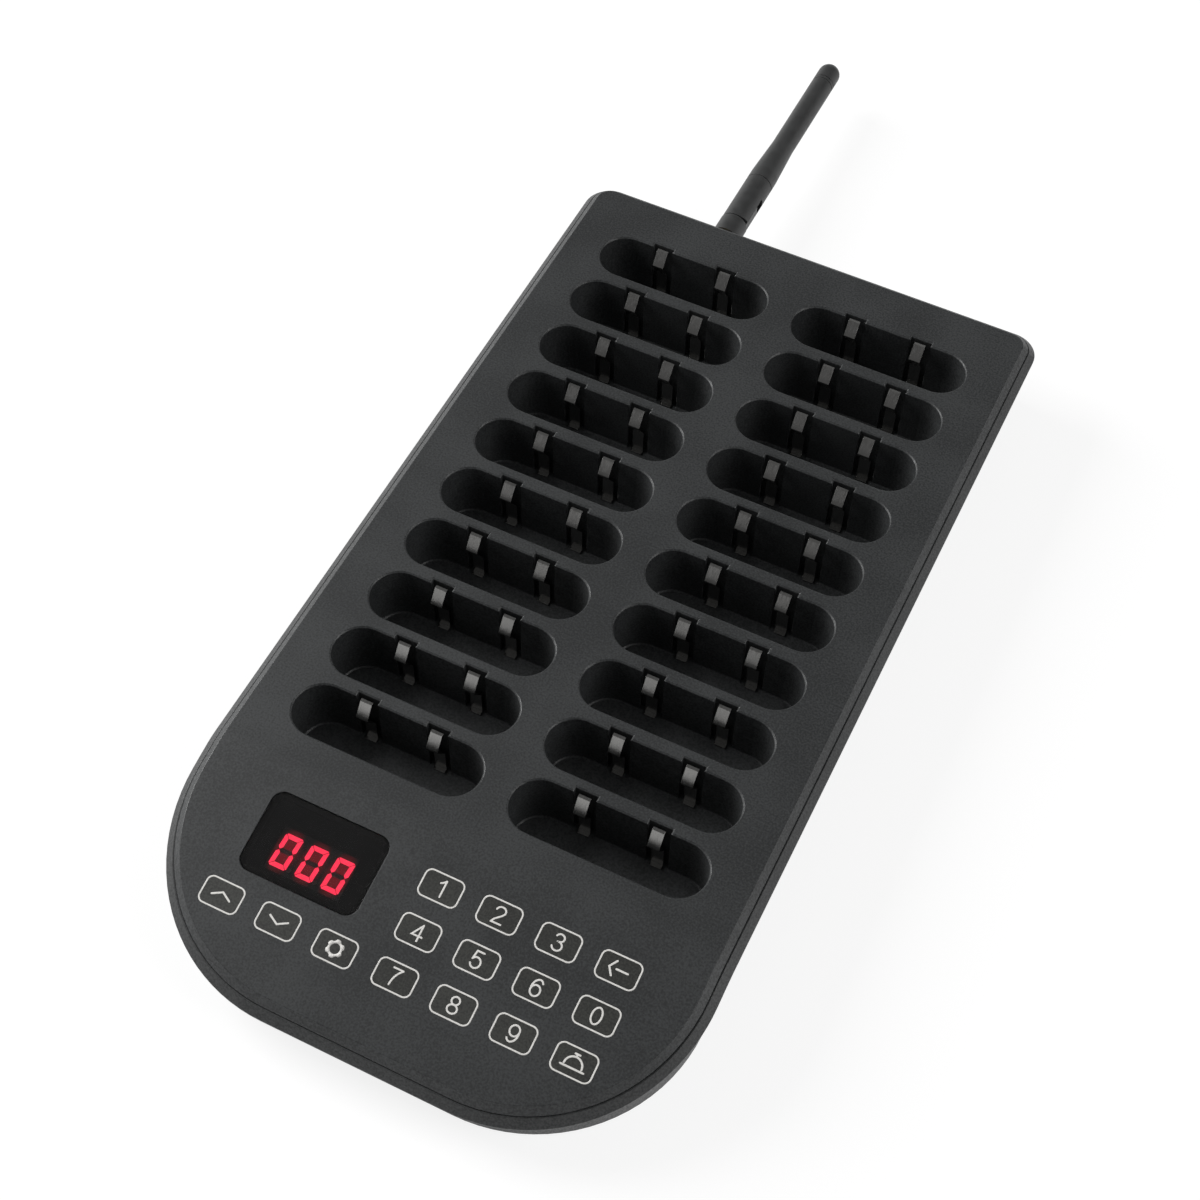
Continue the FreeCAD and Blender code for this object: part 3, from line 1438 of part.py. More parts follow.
def make_switch():
    """The power switch: a body with a guide slot, and the slider that runs in it."""
    face = rear_inside - fit_gap
    middle_z = board_top + switch_height / 2
    body = new_body("power_switch")
    path = box_path(
        switch_x - switch_width / 2, switch_x + switch_width / 2, face - switch_depth, face
    )
    pad(body, trace(new_sketch(body, height=board_top), path), switch_height)
    half_run = (slider_width + switch_travel) / 2 + slider_gap
    half_up = slider_height / 2 + slider_gap
    cheek = (switch_depth - slider_plate) / 2
    sketch = new_sketch(body, "XZ_Plane", height=-face)
    trace(sketch, centred_path(switch_x, middle_z, half_run, half_up))
    pocket(body, sketch, cheek, flip=True)
    sketch = new_sketch(body, "XZ_Plane", height=cheek - face)
    trace(sketch, centred_path(switch_x, middle_z, half_run + slider_wing, half_up + slider_wing))
    pocket(body, sketch, slider_plate + slider_gap * 2, flip=True)
    keep(body)

    body = new_body("switch_slider")
    rest_x = switch_x - switch_travel / 2
    half_run = slider_width / 2
    half_up = slider_height / 2
    back = face - cheek - slider_gap - slider_plate
    sketch = new_sketch(body, "XZ_Plane", height=-back)
    trace(sketch, centred_path(rest_x, middle_z, half_run + slider_wing, half_up + slider_wing))
    pad(body, sketch, slider_plate, flip=True)
    sketch = new_sketch(body, "XZ_Plane", height=-back)
    trace(sketch, centred_path(rest_x, middle_z, half_run, half_up))
    pad(body, sketch, rear_wall + slider_reach - back, flip=True)
    return keep(body)


# ---------------------------------------------------------------- antenna


def antenna_body(label):
    """A body whose Y axis is the antenna's axis."""
    body = new_body(label)
    place(body, -column_offset, 0, antenna_height)
    return body


def turned(label, path):
    """A piece turned about the antenna's axis: path is (radius, station along Y)."""
    body = antenna_body(label)
    revolve(body, trace(new_sketch(body), path), "Y_Axis")
    return body


def hexagon_path(flats):
    radius = flats / (cosine(as_size(30)) * 2)
    turns = [math.pi * i / 3 for i in range(6)]
    return [(radius * math.cos(turn), radius * math.sin(turn)) for turn in turns]


def make_jack():
    inner = rear_inside - jack_flange
    end = rear_wall + barrel_length
    floor = end - jack_bore_depth
    body = turned("antenna_jack", [
        (0, inner), (jack_flange_radius, inner), (jack_flange_radius, rear_inside),
        (barrel_radius, rear_inside), (barrel_radius, end), (jack_bore, end), (jack_bore, floor),
        (0, floor),
    ])
    sketch = new_sketch(body, "XZ_Plane", height=-end)
    add_circle(sketch, 0, 0, contact_pin_radius + fit_gap)
    pocket(body, sketch, jack_bore_depth + pin_entry + 1, flip=True)
    keep(body)

    start = rear_wall
    end = start + washer_thickness
    bore = barrel_radius + fit_gap
    keep(turned("antenna_washer", [
        (bore, start), (washer_radius, start), (washer_radius, end), (bore, end),
    ]))

    body = antenna_body("antenna_jack_nut")
    sketch = trace(new_sketch(body, "XZ_Plane", height=-end), hexagon_path(nut_flats))
    add_circle(sketch, 0, 0, barrel_radius + thread_gap)
    pad(body, sketch, nut_thickness, flip=True)
    return keep(body)


def make_coupling():
    """The hexagon coupling nut: a bore over the jack and a lip behind the plug's shoulder."""
    body = antenna_body("antenna_coupling")
    sketch = trace(
        new_sketch(body, "XZ_Plane", height=-coupling_start), hexagon_path(coupling_flats)
    )
    add_circle(sketch, 0, 0, stem_radius + running_gap)
    pad(body, sketch, coupling_length, flip=True)
    sketch = new_sketch(body, "XZ_Plane", height=-coupling_start)
    add_circle(sketch, 0, 0, barrel_radius + running_gap)
    pocket(body, sketch, coupling_length - coupling_lip)
    return keep(body)


def make_plug():
    """The plug's pin, shoulder and stem, with the ring that holds the collar on."""
    jack_end = rear_wall + barrel_length
    shoulder = jack_end + fit_gap
    shoulder_end = coupling_end - coupling_lip - fit_gap
    ring = collar_start + ring_setback
    end = collar_start + stem_length
    pin_end = jack_end - jack_bore_depth - pin_entry
    return keep(turned("antenna_plug", [
        (0, pin_end), (contact_pin_radius, pin_end),
        (contact_pin_radius, shoulder), (shoulder_radius, shoulder), (shoulder_radius, shoulder_end),
        (stem_radius, shoulder_end), (stem_radius, ring), (ring_radius, ring),
        (ring_radius, ring + ring_length), (stem_radius, ring + ring_length), (stem_radius, end),
        (0, end),
    ]))


def make_collar():
    """The collar: a bore for the plug's stem, a flat face for the whip and the hinge blade."""
    face = pivot_y - knuckle_radius - knuckle_gap
    bore = stem_radius + running_gap
    ring = collar_start + ring_setback - running_gap
    ring_end = ring + ring_length + running_gap * 2
    end = collar_start + stem_length + fit_gap
    body = turned("antenna_collar", [
        (bore, collar_start), (collar_radius, collar_start), (collar_radius, face), (0, face),
        (0, end), (bore, end), (bore, ring_end), (ring_radius + running_gap, ring_end),
        (ring_radius + running_gap, ring), (bore, ring),
    ])
    sketch = new_sketch(body)
    root_y = face - BLADE_ROOT
    trace(sketch, [
        (blade_radius, root_y),
        (blade_radius, pivot_y, arc(0, pivot_y)),
        (-blade_radius, pivot_y),
        (-blade_radius, root_y),
    ])
    pad(body, sketch, blade_thickness, midplane=True)
    sketch = new_sketch(body)
    add_circle(sketch, 0, pivot_y, pin_radius + running_gap / 2)
    pocket(body, sketch, midplane=True)
    return keep(body)


def ring_groove(radius, station):
    """Corners of a groove turned into a rod of this radius."""
    floor = radius - ring_groove_depth
    end = station + ring_groove_width
    return [(radius, station), (floor, station), (floor, end), (radius, end)]


def make_whip():
    """The whip: slotted for the blade, rounded where it folds, tapered and bored for the radiator."""
    low = pivot_y - knuckle_radius
    outside = antenna_radius + 1
    bore = radiator_radius + fit_gap
    socket = tip_spigot_radius + fit_gap
    start = pivot_y + radiator_start
    body = turned("antenna_whip", [
        (0, low),
        (antenna_radius, low),
        *ring_groove(antenna_radius, pivot_y + whip_ring_reach),
        (antenna_radius, pivot_y + thick_reach),
        (tip_radius, pivot_y + thick_reach + taper_length),
        *ring_groove(tip_radius, whip_end - tip_ring_setback),
        (tip_radius, whip_end),
        (socket, whip_end),
        (socket, whip_end - tip_spigot - fit_gap),
        (bore, whip_end - tip_spigot - fit_gap),
        (bore, start),
        (0, start),
    ])
    sketch = new_sketch(body)
    trace(sketch, [
        (0, low, arc(0, pivot_y)),
        (outside, pivot_y - root(knuckle_radius * knuckle_radius - outside * outside)),
        (outside, low - 1),
        (0, low - 1),
    ])
    pocket(body, sketch, midplane=True)
    slot = blade_radius + blade_gap * 2
    diagonal = slot * cosine(as_size(45))
    sketch = new_sketch(body)
    trace(sketch, [
        (-outside, low - 1),
        (outside, low - 1),
        (outside, pivot_y + slot),
        (0, pivot_y + slot, arc(0, pivot_y)),
        (-diagonal, pivot_y + diagonal),
        (-outside, pivot_y + diagonal),
    ])
    pocket(body, sketch, blade_thickness + blade_gap * 2, midplane=True)
    sketch = new_sketch(body, height=pin_top + fit_gap)
    add_circle(sketch, 0, pivot_y, pin_radius + thread_gap)
    pocket(body, sketch)
    keep(body)

    body = antenna_body("antenna_pin")
    sketch = new_sketch(body, height=pin_inset - antenna_radius)
    add_circle(sketch, 0, pivot_y, pin_radius)
    pad(body, sketch, pin_top + antenna_radius - pin_inset)
    keep(body)

    radiator_end = whip_end - tip_spigot - fit_gap * 2
    keep(turned("antenna_radiator", [
        (0, start), (radiator_radius, start), (radiator_radius, radiator_end), (0, radiator_end),
    ]))

    dome = tip_radius
    joint = whip_end + tip_groove
    end = whip_end + tip_length
    return keep(turned("antenna_tip_cap", [
        (0, whip_end - tip_spigot), (tip_spigot_radius, whip_end - tip_spigot),
        (tip_spigot_radius, joint), (tip_radius, joint),
        (tip_radius, end - dome, arc(0, end - dome)),
        (0, end),
    ]))


# ---------------------------------------------------------------- build

make_top_cover()
make_base_tray()
screws("cover_screws", cover_screw_places, head_seat, cover_screw_length, screw_radius, -1)
make_feet()
make_contacts()
make_window()
make_window_tape()
make_display()
make_key_board()
make_key_screws()
make_touch_springs()
key_board_back = -key_board_drop - board_thickness
block(
    "key_controller", controller_x, -(key_row_first + key_row_pitch),
    key_board_back - chip_height, controller_side, controller_side, chip_height, panel=True,
)
block(
    "key_header", header_x, -key_header_drop, key_board_back - key_header_height,
    header_length, header_depth, key_header_height, panel=True,
)
make_main_board()
screws("board_screws", board_screw_places, board_top, board_screw_length, screw_radius, 1)
block(
    "microcontroller", processor_x, chip_row_y, board_top,
    processor_side, processor_side, chip_height,
)
block(
    "regulator", regulator_x, chip_row_y, board_top,
    regulator_length, regulator_depth, regulator_height,
)
block("main_header", header_x, header_y, board_top, header_length, header_depth, header_height)
make_charge_chips()
make_capacitors()
make_power_coil()
make_buzzer()
make_ribbon()
make_radio()
make_antenna_lead()
make_inlet()
make_switch()
make_jack()
make_coupling()
make_plug()
make_collar()
make_whip()
doc.recompute()

for thing in doc.Objects:
    if "Invalid" in thing.State or "Error" in thing.State:
        raise RuntimeError(f"{thing.Name} ({thing.Label}) failed: {thing.State}")
for thing in parts:
    if thing.Shape.isNull() or not thing.Shape.isValid():
        raise RuntimeError(f"{thing.Label} has no valid shape")

os.makedirs("parts", exist_ok=True)
for thing in parts:
    thing.Shape.exportStep(f"parts/{thing.Label}.step")
    box = thing.Shape.BoundBox
    solids = len(thing.Shape.Solids)
    print(f"{thing.Label}: {solids} solids, {thing.Shape.Volume:.0f} mm3, "
          f"x {box.XMin:.2f}..{box.XMax:.2f} y {box.YMin:.2f}..{box.YMax:.2f} "
          f"z {box.ZMin:.2f}..{box.ZMax:.2f}")
print(len(parts), "nodes")
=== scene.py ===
# %% [markdown]
# # A guest pager dock
# The object is a flat black plastic case that stands on a restaurant counter.  Twenty slots hold
# coaster pagers on edge and charge them, and a sloped touch panel at the front calls them.
# This lesson dresses a finished CAD model of it.  The solids could be modelled again here, but
# then the looks and the mechanics would drift apart.  So they are loaded first and stay where
# they are, and every cell after that adds a finish, a printed mark, a light or the camera.

# %% Load the solid model
import json
import math

import bmesh
import bpy
from mathutils import Matrix, Vector

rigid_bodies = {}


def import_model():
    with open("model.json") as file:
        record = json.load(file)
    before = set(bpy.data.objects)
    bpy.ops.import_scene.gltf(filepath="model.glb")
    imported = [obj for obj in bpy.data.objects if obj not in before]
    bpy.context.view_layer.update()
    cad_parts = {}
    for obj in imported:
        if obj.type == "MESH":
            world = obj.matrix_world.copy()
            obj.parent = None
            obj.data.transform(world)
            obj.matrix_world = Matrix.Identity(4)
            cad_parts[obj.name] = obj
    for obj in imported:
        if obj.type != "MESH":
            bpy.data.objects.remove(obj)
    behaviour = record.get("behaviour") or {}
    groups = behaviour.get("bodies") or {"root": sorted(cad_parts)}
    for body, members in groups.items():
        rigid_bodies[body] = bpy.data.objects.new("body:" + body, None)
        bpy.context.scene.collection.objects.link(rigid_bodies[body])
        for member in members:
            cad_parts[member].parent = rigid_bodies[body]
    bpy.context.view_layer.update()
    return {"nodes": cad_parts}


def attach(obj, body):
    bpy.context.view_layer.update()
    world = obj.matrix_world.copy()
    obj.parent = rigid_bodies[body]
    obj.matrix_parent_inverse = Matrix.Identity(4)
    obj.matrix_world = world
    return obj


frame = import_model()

solids = frame["nodes"]

# %% [markdown]
# ## Where the marks go
# Everything printed lies on the sloped panel, which falls away from a crease across the case.
# Its marks could be drawn flat and then turned by each object's rotation, but an object here keeps
# its origin at zero, so the turn has to be in the mesh.  They are therefore drawn in the panel's
# own flat measures: millimetres to the right of the middle, millimetres up from the crease, and a
# small lift off the face.  One function turns those into a point of the scene, so no drawing below
# needs to know about the slope.

# %% Panel measures
MM = 0.001
SLOPE = math.radians(11.9)
CREASE_Y = -86.2
FACE_Z = 27.5


def on_panel(x, up, lift=0.0):
    """A point of the scene for a place on the sloped panel, all in millimetres."""
    y = CREASE_Y + up * math.cos(SLOPE) - lift * math.sin(SLOPE)
    z = FACE_Z + up * math.sin(SLOPE) + lift * math.cos(SLOPE)
    return Vector((x, y, z)) * MM


print("crease", on_panel(0, 0), "lowest print", on_panel(0, -41))

# %% [markdown]
# ## The camera
# A flat thing shows best from well above, a little to one side, through a long lens, so that far
# and near slots keep nearly the same size.  A Track To constraint could aim the camera, but it
# always keeps the horizon level, and this view is rolled a little.  So it is given by the
# direction from the object to the camera and by the roll, and the camera's own axes are built
# from them with two cross products.

# %% Camera
def aim_camera(place, azimuth, elevation, roll, lens):
    """A camera at a place, looking back along a direction given in degrees."""
    az, el, turn = (math.radians(angle) for angle in (azimuth, elevation, roll))
    back = Vector((math.sin(az) * math.cos(el), -math.cos(az) * math.cos(el), math.sin(el)))
    right = (-back).cross(Vector((0, 0, 1))).normalized()
    up = right.cross(-back)
    turned_right = math.cos(turn) * right + math.sin(turn) * up
    turned_up = math.cos(turn) * up - math.sin(turn) * right
    axes = Matrix((turned_right, turned_up, back)).transposed()
    data = bpy.data.cameras.new("counter_view")
    data.sensor_width = 36
    data.lens = lens
    data.clip_start = 0.02
    data.clip_end = 20
    camera = bpy.data.objects.new("counter_view", data)
    camera.matrix_world = Matrix.Translation(place) @ axes.to_4x4()
    bpy.context.scene.collection.objects.link(camera)
    bpy.context.scene.camera = camera
    return camera


camera = aim_camera(
    place=Vector((0.1310, -0.2879, 0.4841)),
    azimuth=25.032, elevation=55.483, roll=1.408, lens=60.89,
)
print("camera", camera.matrix_world.translation)

# %% [markdown]
# ## A material from parts
# Each finish below is a Principled shader with other nodes wired to its sockets.  The nodes could
# be placed by hand in the shader editor, but a script makes the same material each time it runs.
# Four helpers keep that short: one starts a finish, one adds a node with its settings, one draws
# a wire, and one puts the finish on solid pieces.

# %% Nodes and wires
def new_finish(name):
    """An empty material and its Principled shader."""
    finish = bpy.data.materials.new(name)
    finish.use_nodes = True
    shader = finish.node_tree.nodes["Principled BSDF"]
    return finish, shader


def add(finish, kind, **settings):
    """Adds a node of a kind and sets its plain properties and input sockets by name."""
    node = finish.node_tree.nodes.new(kind)
    for key, value in settings.items():
        socket = key.replace("_", " ").title()
        if socket in node.inputs:
            node.inputs[socket].default_value = value
        else:
            setattr(node, key, value)
    return node


def join(finish, source, target):
    """Draws the wire from an output socket to an input socket."""
    finish.node_tree.links.new(source, target)


def dress(finish, *names):
    """Puts a finish on solid pieces."""
    for name in names:
        slots = solids[name].data.materials
        slots.clear()
        slots.append(finish)


print("node helpers ready")

# %% [markdown]
# ## Grain
# Real moulded plastic, metal and rubber are never one flat colour: they have a grain.  An image
# texture could be wrapped round each piece, but that needs unwrapping and turns soft close up.  A
# noise has neither fault.  It is read in the object's own metres, so its lumps have a real size,
# keep it on every piece and move with a piece that turns.  Two more helpers spread its numbers
# over a range, for a roughness, or between two tones, for a colour.

# %% Grain
def own_measures(finish, stretch=(1, 1, 1)):
    """The surface's place in its own metres, stretched for grain that runs one way."""
    place = add(finish, "ShaderNodeTexCoord")
    mapping = add(finish, "ShaderNodeMapping")
    mapping.inputs["Scale"].default_value = stretch
    join(finish, place.outputs["Object"], mapping.inputs["Vector"])
    return mapping.outputs["Vector"]


def grain(finish, place, size_mm, detail=3.0):
    """A noise whose lumps are about size_mm across."""
    noise = add(finish, "ShaderNodeTexNoise", scale=1 / MM / size_mm, detail=detail)
    join(finish, place, noise.inputs["Vector"])
    return noise.outputs["Fac"]


def spread(finish, value, low, high, near=0.35, far=0.65):
    """Maps a noise that runs from near to far to plain numbers from low to high."""
    ranger = add(finish, "ShaderNodeMapRange")
    sockets = ("From Min", "From Max", "To Min", "To Max")
    for socket, number in zip(sockets, (near, far, low, high)):
        ranger.inputs[socket].default_value = number
    join(finish, value, ranger.inputs["Value"])
    return ranger.outputs["Result"]


def tint(finish, value, dark, light, near=0.3, far=0.7):
    """Maps a noise that runs from near to far to colours from dark to light."""
    ramp = add(finish, "ShaderNodeValToRGB")
    ramp.color_ramp.elements[0].position = near
    ramp.color_ramp.elements[0].color = (*dark, 1)
    ramp.color_ramp.elements[1].position = far
    ramp.color_ramp.elements[1].color = (*light, 1)
    join(finish, value, ramp.inputs["Fac"])
    return ramp.outputs["Color"]


print("grain reads in units of", MM, "m")

# %% [markdown]
# ## Bumps and soft edges
# A moulded part has a fine skin and no razor edges.  Both could be modelled, but the solids keep
# their meshes, and such small forms would take millions of faces.  The shading does it instead:
# the Bump node tilts the normal by a height of a real depth, and the Bevel node turns it smoothly
# across every edge.

# %% Bumps and soft edges
BEVEL_SAMPLES = 4


def rounded_normal(finish, edge_mm):
    """The way the surface would face if its edges were rounded by edge_mm."""
    edge = add(finish, "ShaderNodeBevel", radius=edge_mm * MM, samples=BEVEL_SAMPLES)
    return edge.outputs["Normal"]


def roughen(finish, shader, height, depth_mm, strength, edge_mm=0.0):
    """Bumps the surface by a height map of a real depth, and can round the look of its edges."""
    bump = add(finish, "ShaderNodeBump", strength=strength, distance=depth_mm * MM)
    join(finish, height, bump.inputs["Height"])
    if edge_mm:
        join(finish, rounded_normal(finish, edge_mm), bump.inputs["Normal"])
    join(finish, bump.outputs["Normal"], shader.inputs["Normal"])


print("edges are rounded with", BEVEL_SAMPLES, "samples")

# %% [markdown]
# ## Spark-textured plastic
# The case is dark grey ABS from a mould whose steel was etched by sparks, so its skin is a field
# of tiny pits about half a millimetre apart.  They scatter the highlight into an even, speckled
# grey.  A large moulding also drifts a little in tone.  One noise can't be both so fine and so
# broad, so a fine one gives the pits and a coarse one the drift.  Edges are rounded over a
# quarter of a millimetre.  Where the rounded normal leans away from the face's own, the plastic
# is also smoother, as edges rubbed by hands are, and the two together draw the thin bright line
# of a real edge.

# %% Case plastic
PIT_MM, PIT_DEPTH_MM, PIT_SHARE = 0.55, 0.05, 0.85
DRIFT_MM, DRIFT_LOW, DRIFT_HIGH = 22.0, 0.02, 0.12
EDGE_COSINE, FACE_COSINE = 0.93, 0.995
RUBBED_ROUGHNESS = 0.24


def edge_share(finish, edge_mm):
    """0 on a flat face, rising to 1 on a sharp edge, where the rounded normal leans away."""
    face = add(finish, "ShaderNodeNewGeometry")
    lean = add(finish, "ShaderNodeVectorMath", operation="DOT_PRODUCT")
    join(finish, rounded_normal(finish, edge_mm), lean.inputs[0])
    join(finish, face.outputs["Normal"], lean.inputs[1])
    return spread(finish, lean.outputs["Value"], 1.0, 0.0, EDGE_COSINE, FACE_COSINE)


def spark_plastic(name, dark, light, low, high, edge_mm=0.25):
    """Pitted plastic: dark and light are its two tones, low and high its roughness."""
    finish, shader = new_finish(name)
    place = own_measures(finish)
    pits = grain(finish, place, PIT_MM, detail=2.0)
    drift = grain(finish, place, DRIFT_MM, detail=2.0)
    speck = add(finish, "ShaderNodeMath", operation="MULTIPLY_ADD")
    join(finish, pits, speck.inputs[0])
    speck.inputs[1].default_value = PIT_SHARE
    join(finish, spread(finish, drift, DRIFT_LOW, DRIFT_HIGH), speck.inputs[2])
    speckle = tint(finish, speck.outputs["Value"], dark, light, near=0.38, far=0.62)
    join(finish, speckle, shader.inputs["Base Color"])
    matte = spread(finish, pits, high, low)
    if edge_mm:
        polish = add(finish, "ShaderNodeMix")
        join(finish, edge_share(finish, edge_mm), polish.inputs["Factor"])
        join(finish, matte, polish.inputs["A"])
        polish.inputs["B"].default_value = RUBBED_ROUGHNESS
        matte = polish.outputs["Result"]
    join(finish, matte, shader.inputs["Roughness"])
    roughen(finish, shader, pits, PIT_DEPTH_MM, strength=0.6, edge_mm=edge_mm)
    shader.inputs["IOR"].default_value = 1.5
    return finish


cover_plastic = spark_plastic(
    "cover_plastic", (0.0145, 0.0157, 0.0163), (0.0435, 0.0460, 0.0472), 0.42, 0.56
)
tray_plastic = spark_plastic(
    "tray_plastic", (0.0135, 0.0145, 0.0150), (0.0400, 0.0415, 0.0422), 0.40, 0.54, edge_mm=0.1
)
dress(cover_plastic, "top_cover")
dress(tray_plastic, "base_tray")
print("case finishes", cover_plastic.name, tray_plastic.name)

# %% [markdown]
# ## Rubber and the antenna's skin
# The antenna is covered with a satin elastomer that has no moulded texture, only a soft, dusty
# look, and the six feet are duller still.  Both want a low, even reflection.  Roughness alone
# could give it, but a dusty skin also brightens where it turns away from the eye, which is what
# the shader's sheen is for, so the two are used together.

# %% Elastomers
def elastomer(name, dark, light, low, high, sheen):
    """Satin rubber: dark and light are its two tones, low and high its roughness."""
    finish, shader = new_finish(name)
    place = own_measures(finish)
    dust = grain(finish, place, size_mm=3.0, detail=4.0)
    skin = grain(finish, place, size_mm=0.3, detail=2.0)
    join(finish, tint(finish, dust, dark, light), shader.inputs["Base Color"])
    join(finish, spread(finish, dust, low, high), shader.inputs["Roughness"])
    roughen(finish, shader, skin, depth_mm=0.008, strength=0.3, edge_mm=0.2)
    shader.inputs["Sheen Weight"].default_value = sheen
    shader.inputs["Sheen Roughness"].default_value = 0.4
    return finish


antenna_skin = elastomer(
    "antenna_skin", (0.0215, 0.0222, 0.0224), (0.0325, 0.0335, 0.0336), 0.44, 0.55, sheen=0.05
)
foot_rubber = elastomer(
    "foot_rubber", (0.010, 0.010, 0.010), (0.018, 0.018, 0.018), 0.7, 0.85, sheen=0.1
)
dress(antenna_skin, "antenna_collar", "antenna_whip", "antenna_tip_cap")
dress(foot_rubber, "rubber_feet")
print("antenna and feet dressed")

# %% [markdown]
# ## Metals
# Metal is told by what it reflects, so it wants a metallic shader with a low roughness.  The
# contact leaves are spring bronze with a nickel coat, the jack is gold flashed brass and the
# screws are zinc plated.  The shader has an anisotropic setting for brushed metal, but it follows
# the mesh's own directions, which these solids don't have.  A noise stretched along the way in
# which the sheet or rod was rolled gives the same streaks on any shape.

# %% Metals
def plated(name, dark, light, low, high, grain_mm, stretch=(1, 1, 1), edge_mm=0.0):
    """Metal: dark and light are its two tones, low and high its roughness."""
    finish, shader = new_finish(name)
    place = own_measures(finish, stretch)
    streaks = grain(finish, place, grain_mm)
    join(finish, tint(finish, streaks, dark, light), shader.inputs["Base Color"])
    join(finish, spread(finish, streaks, low, high), shader.inputs["Roughness"])
    roughen(finish, shader, streaks, depth_mm=0.004, strength=0.3, edge_mm=edge_mm)
    shader.inputs["Metallic"].default_value = 1
    return finish


contact_nickel = plated(
    "contact_nickel", (0.25, 0.247, 0.24), (0.31, 0.307, 0.30), 0.17, 0.26, grain_mm=0.25,
    stretch=(1, 0.12, 0.12), edge_mm=0.25,
)
zinc = plated("zinc_steel", (0.48, 0.49, 0.52), (0.66, 0.67, 0.70), 0.26, 0.4, grain_mm=0.6)
gold_flash = plated("gold_flash", (0.62, 0.45, 0.19), (0.80, 0.62, 0.30), 0.2, 0.34, grain_mm=0.8)
can_metal = plated(
    "can_metal", (0.50, 0.50, 0.52), (0.70, 0.70, 0.72), 0.25, 0.38, grain_mm=0.4,
    stretch=(1, 1, 0.1),
)
enamel_wire = plated(
    "enamel_wire", (0.42, 0.17, 0.07), (0.66, 0.32, 0.15), 0.2, 0.35, grain_mm=0.3,
    stretch=(1, 0.1, 1),
)

leaves = [name for name in solids if name.startswith("contacts_")]
dress(contact_nickel, *leaves)
dress(zinc, "cover_screws", "board_screws", "key_board_screws", "antenna_washer", "antenna_pin")
dress(zinc, "touch_springs")
dress(gold_flash, "antenna_jack", "antenna_jack_nut", "antenna_coupling", "antenna_plug")
dress(can_metal, "filter_capacitors")
dress(enamel_wire, "antenna_radiator")
print(len(leaves), "pairs of leaves in nickel")

# %% [markdown]
# ## Circuit boards and components
# Inside the case are the green boards, their chips, headers, a cable and a coil.  Nobody sees
# them on the counter, but the model can be opened, so each has its own finish.  A board's copper
# tracks show through its lacquer as slightly lighter lines.  Each track could be drawn, but no
# one reads them, so the borders between the cells of a Voronoi texture stand for them.

# %% Boards and components
TRACKS_PER_METRE = 260.0
TRACK_GREEN, BOARD_GREEN = (0.020, 0.130, 0.050), (0.010, 0.075, 0.028)


def circuit_board(name):
    """Green lacquer with a net of copper tracks under it."""
    finish, shader = new_finish(name)
    place = own_measures(finish)
    cells = add(
        finish, "ShaderNodeTexVoronoi", feature="DISTANCE_TO_EDGE", scale=TRACKS_PER_METRE
    )
    join(finish, place, cells.inputs["Vector"])
    border = cells.outputs["Distance"]
    tracks = tint(finish, border, TRACK_GREEN, BOARD_GREEN, near=0.05, far=0.12)
    join(finish, tracks, shader.inputs["Base Color"])
    lacquer = grain(finish, place, size_mm=1.5)
    join(finish, spread(finish, lacquer, 0.22, 0.36), shader.inputs["Roughness"])
    roughen(finish, shader, border, depth_mm=0.03, strength=0.2)
    return finish


def moulded(name, dark, light, low, high, grain_mm=0.5):
    """Resin, ink or foam: dark and light are its two tones, low and high its roughness."""
    finish, shader = new_finish(name)
    place = own_measures(finish)
    lumps = grain(finish, place, grain_mm)
    join(finish, tint(finish, lumps, dark, light), shader.inputs["Base Color"])
    join(finish, spread(finish, lumps, low, high), shader.inputs["Roughness"])
    roughen(finish, shader, lumps, depth_mm=0.01, strength=0.3)
    return finish


board_green = circuit_board("board_green")
chip_resin = moulded("chip_resin", (0.010, 0.010, 0.011), (0.022, 0.022, 0.023), 0.45, 0.6)
connector_black = moulded(
    "connector_black", (0.009, 0.009, 0.009), (0.018, 0.018, 0.018), 0.35, 0.5
)
ferrite = moulded(
    "ferrite", (0.020, 0.020, 0.021), (0.045, 0.044, 0.044), 0.55, 0.7, grain_mm=0.3
)
cable_grey = moulded(
    "cable_grey", (0.16, 0.16, 0.165), (0.24, 0.24, 0.245), 0.4, 0.55, grain_mm=1.0
)
foam_tape = moulded(
    "foam_tape", (0.010, 0.010, 0.010), (0.020, 0.020, 0.020), 0.8, 0.92, grain_mm=0.25
)
dress(board_green, "main_board", "key_board", "radio_module")
dress(chip_resin, "key_controller", "microcontroller", "regulator", "charge_chips")
dress(connector_black, "key_header", "main_header", "buzzer", "dc_inlet", "power_switch")
dress(connector_black, "switch_slider")
dress(ferrite, "power_coil")
dress(cable_grey, "ribbon_cable", "antenna_lead")
dress(foam_tape, "window_tape")
print("inside pieces dressed")

# %% [markdown]
# ## The display
# Three red digits sit behind a smoked acrylic window.  Each digit has seven segments and the dock
# shows three noughts, so the middle segment of each digit and the points are off.  Two materials
# could divide the lit segments from the dark ones, but the segments are one solid piece and its
# mesh stays as it is.  So the shader has to find out where in a digit a place is.  The sums are a
# chain of Math nodes: up and across from the middle of the display, the lean of the digits taken
# out, and the same measures again for each digit by a remainder.

# %% Digit measures
DIGIT_X, DIGIT_UP, DIGIT_PITCH = -32.9, -20.0, 7.6
DIGIT_LEAN = math.tan(math.radians(4))


def work_out(finish, operation, *values):
    """A Math node on sockets or plain numbers."""
    node = add(finish, "ShaderNodeMath", operation=operation)
    for value, socket in zip(values, node.inputs):
        if isinstance(value, (int, float)):
            socket.default_value = value
        else:
            join(finish, value, socket)
    return node.outputs["Value"]


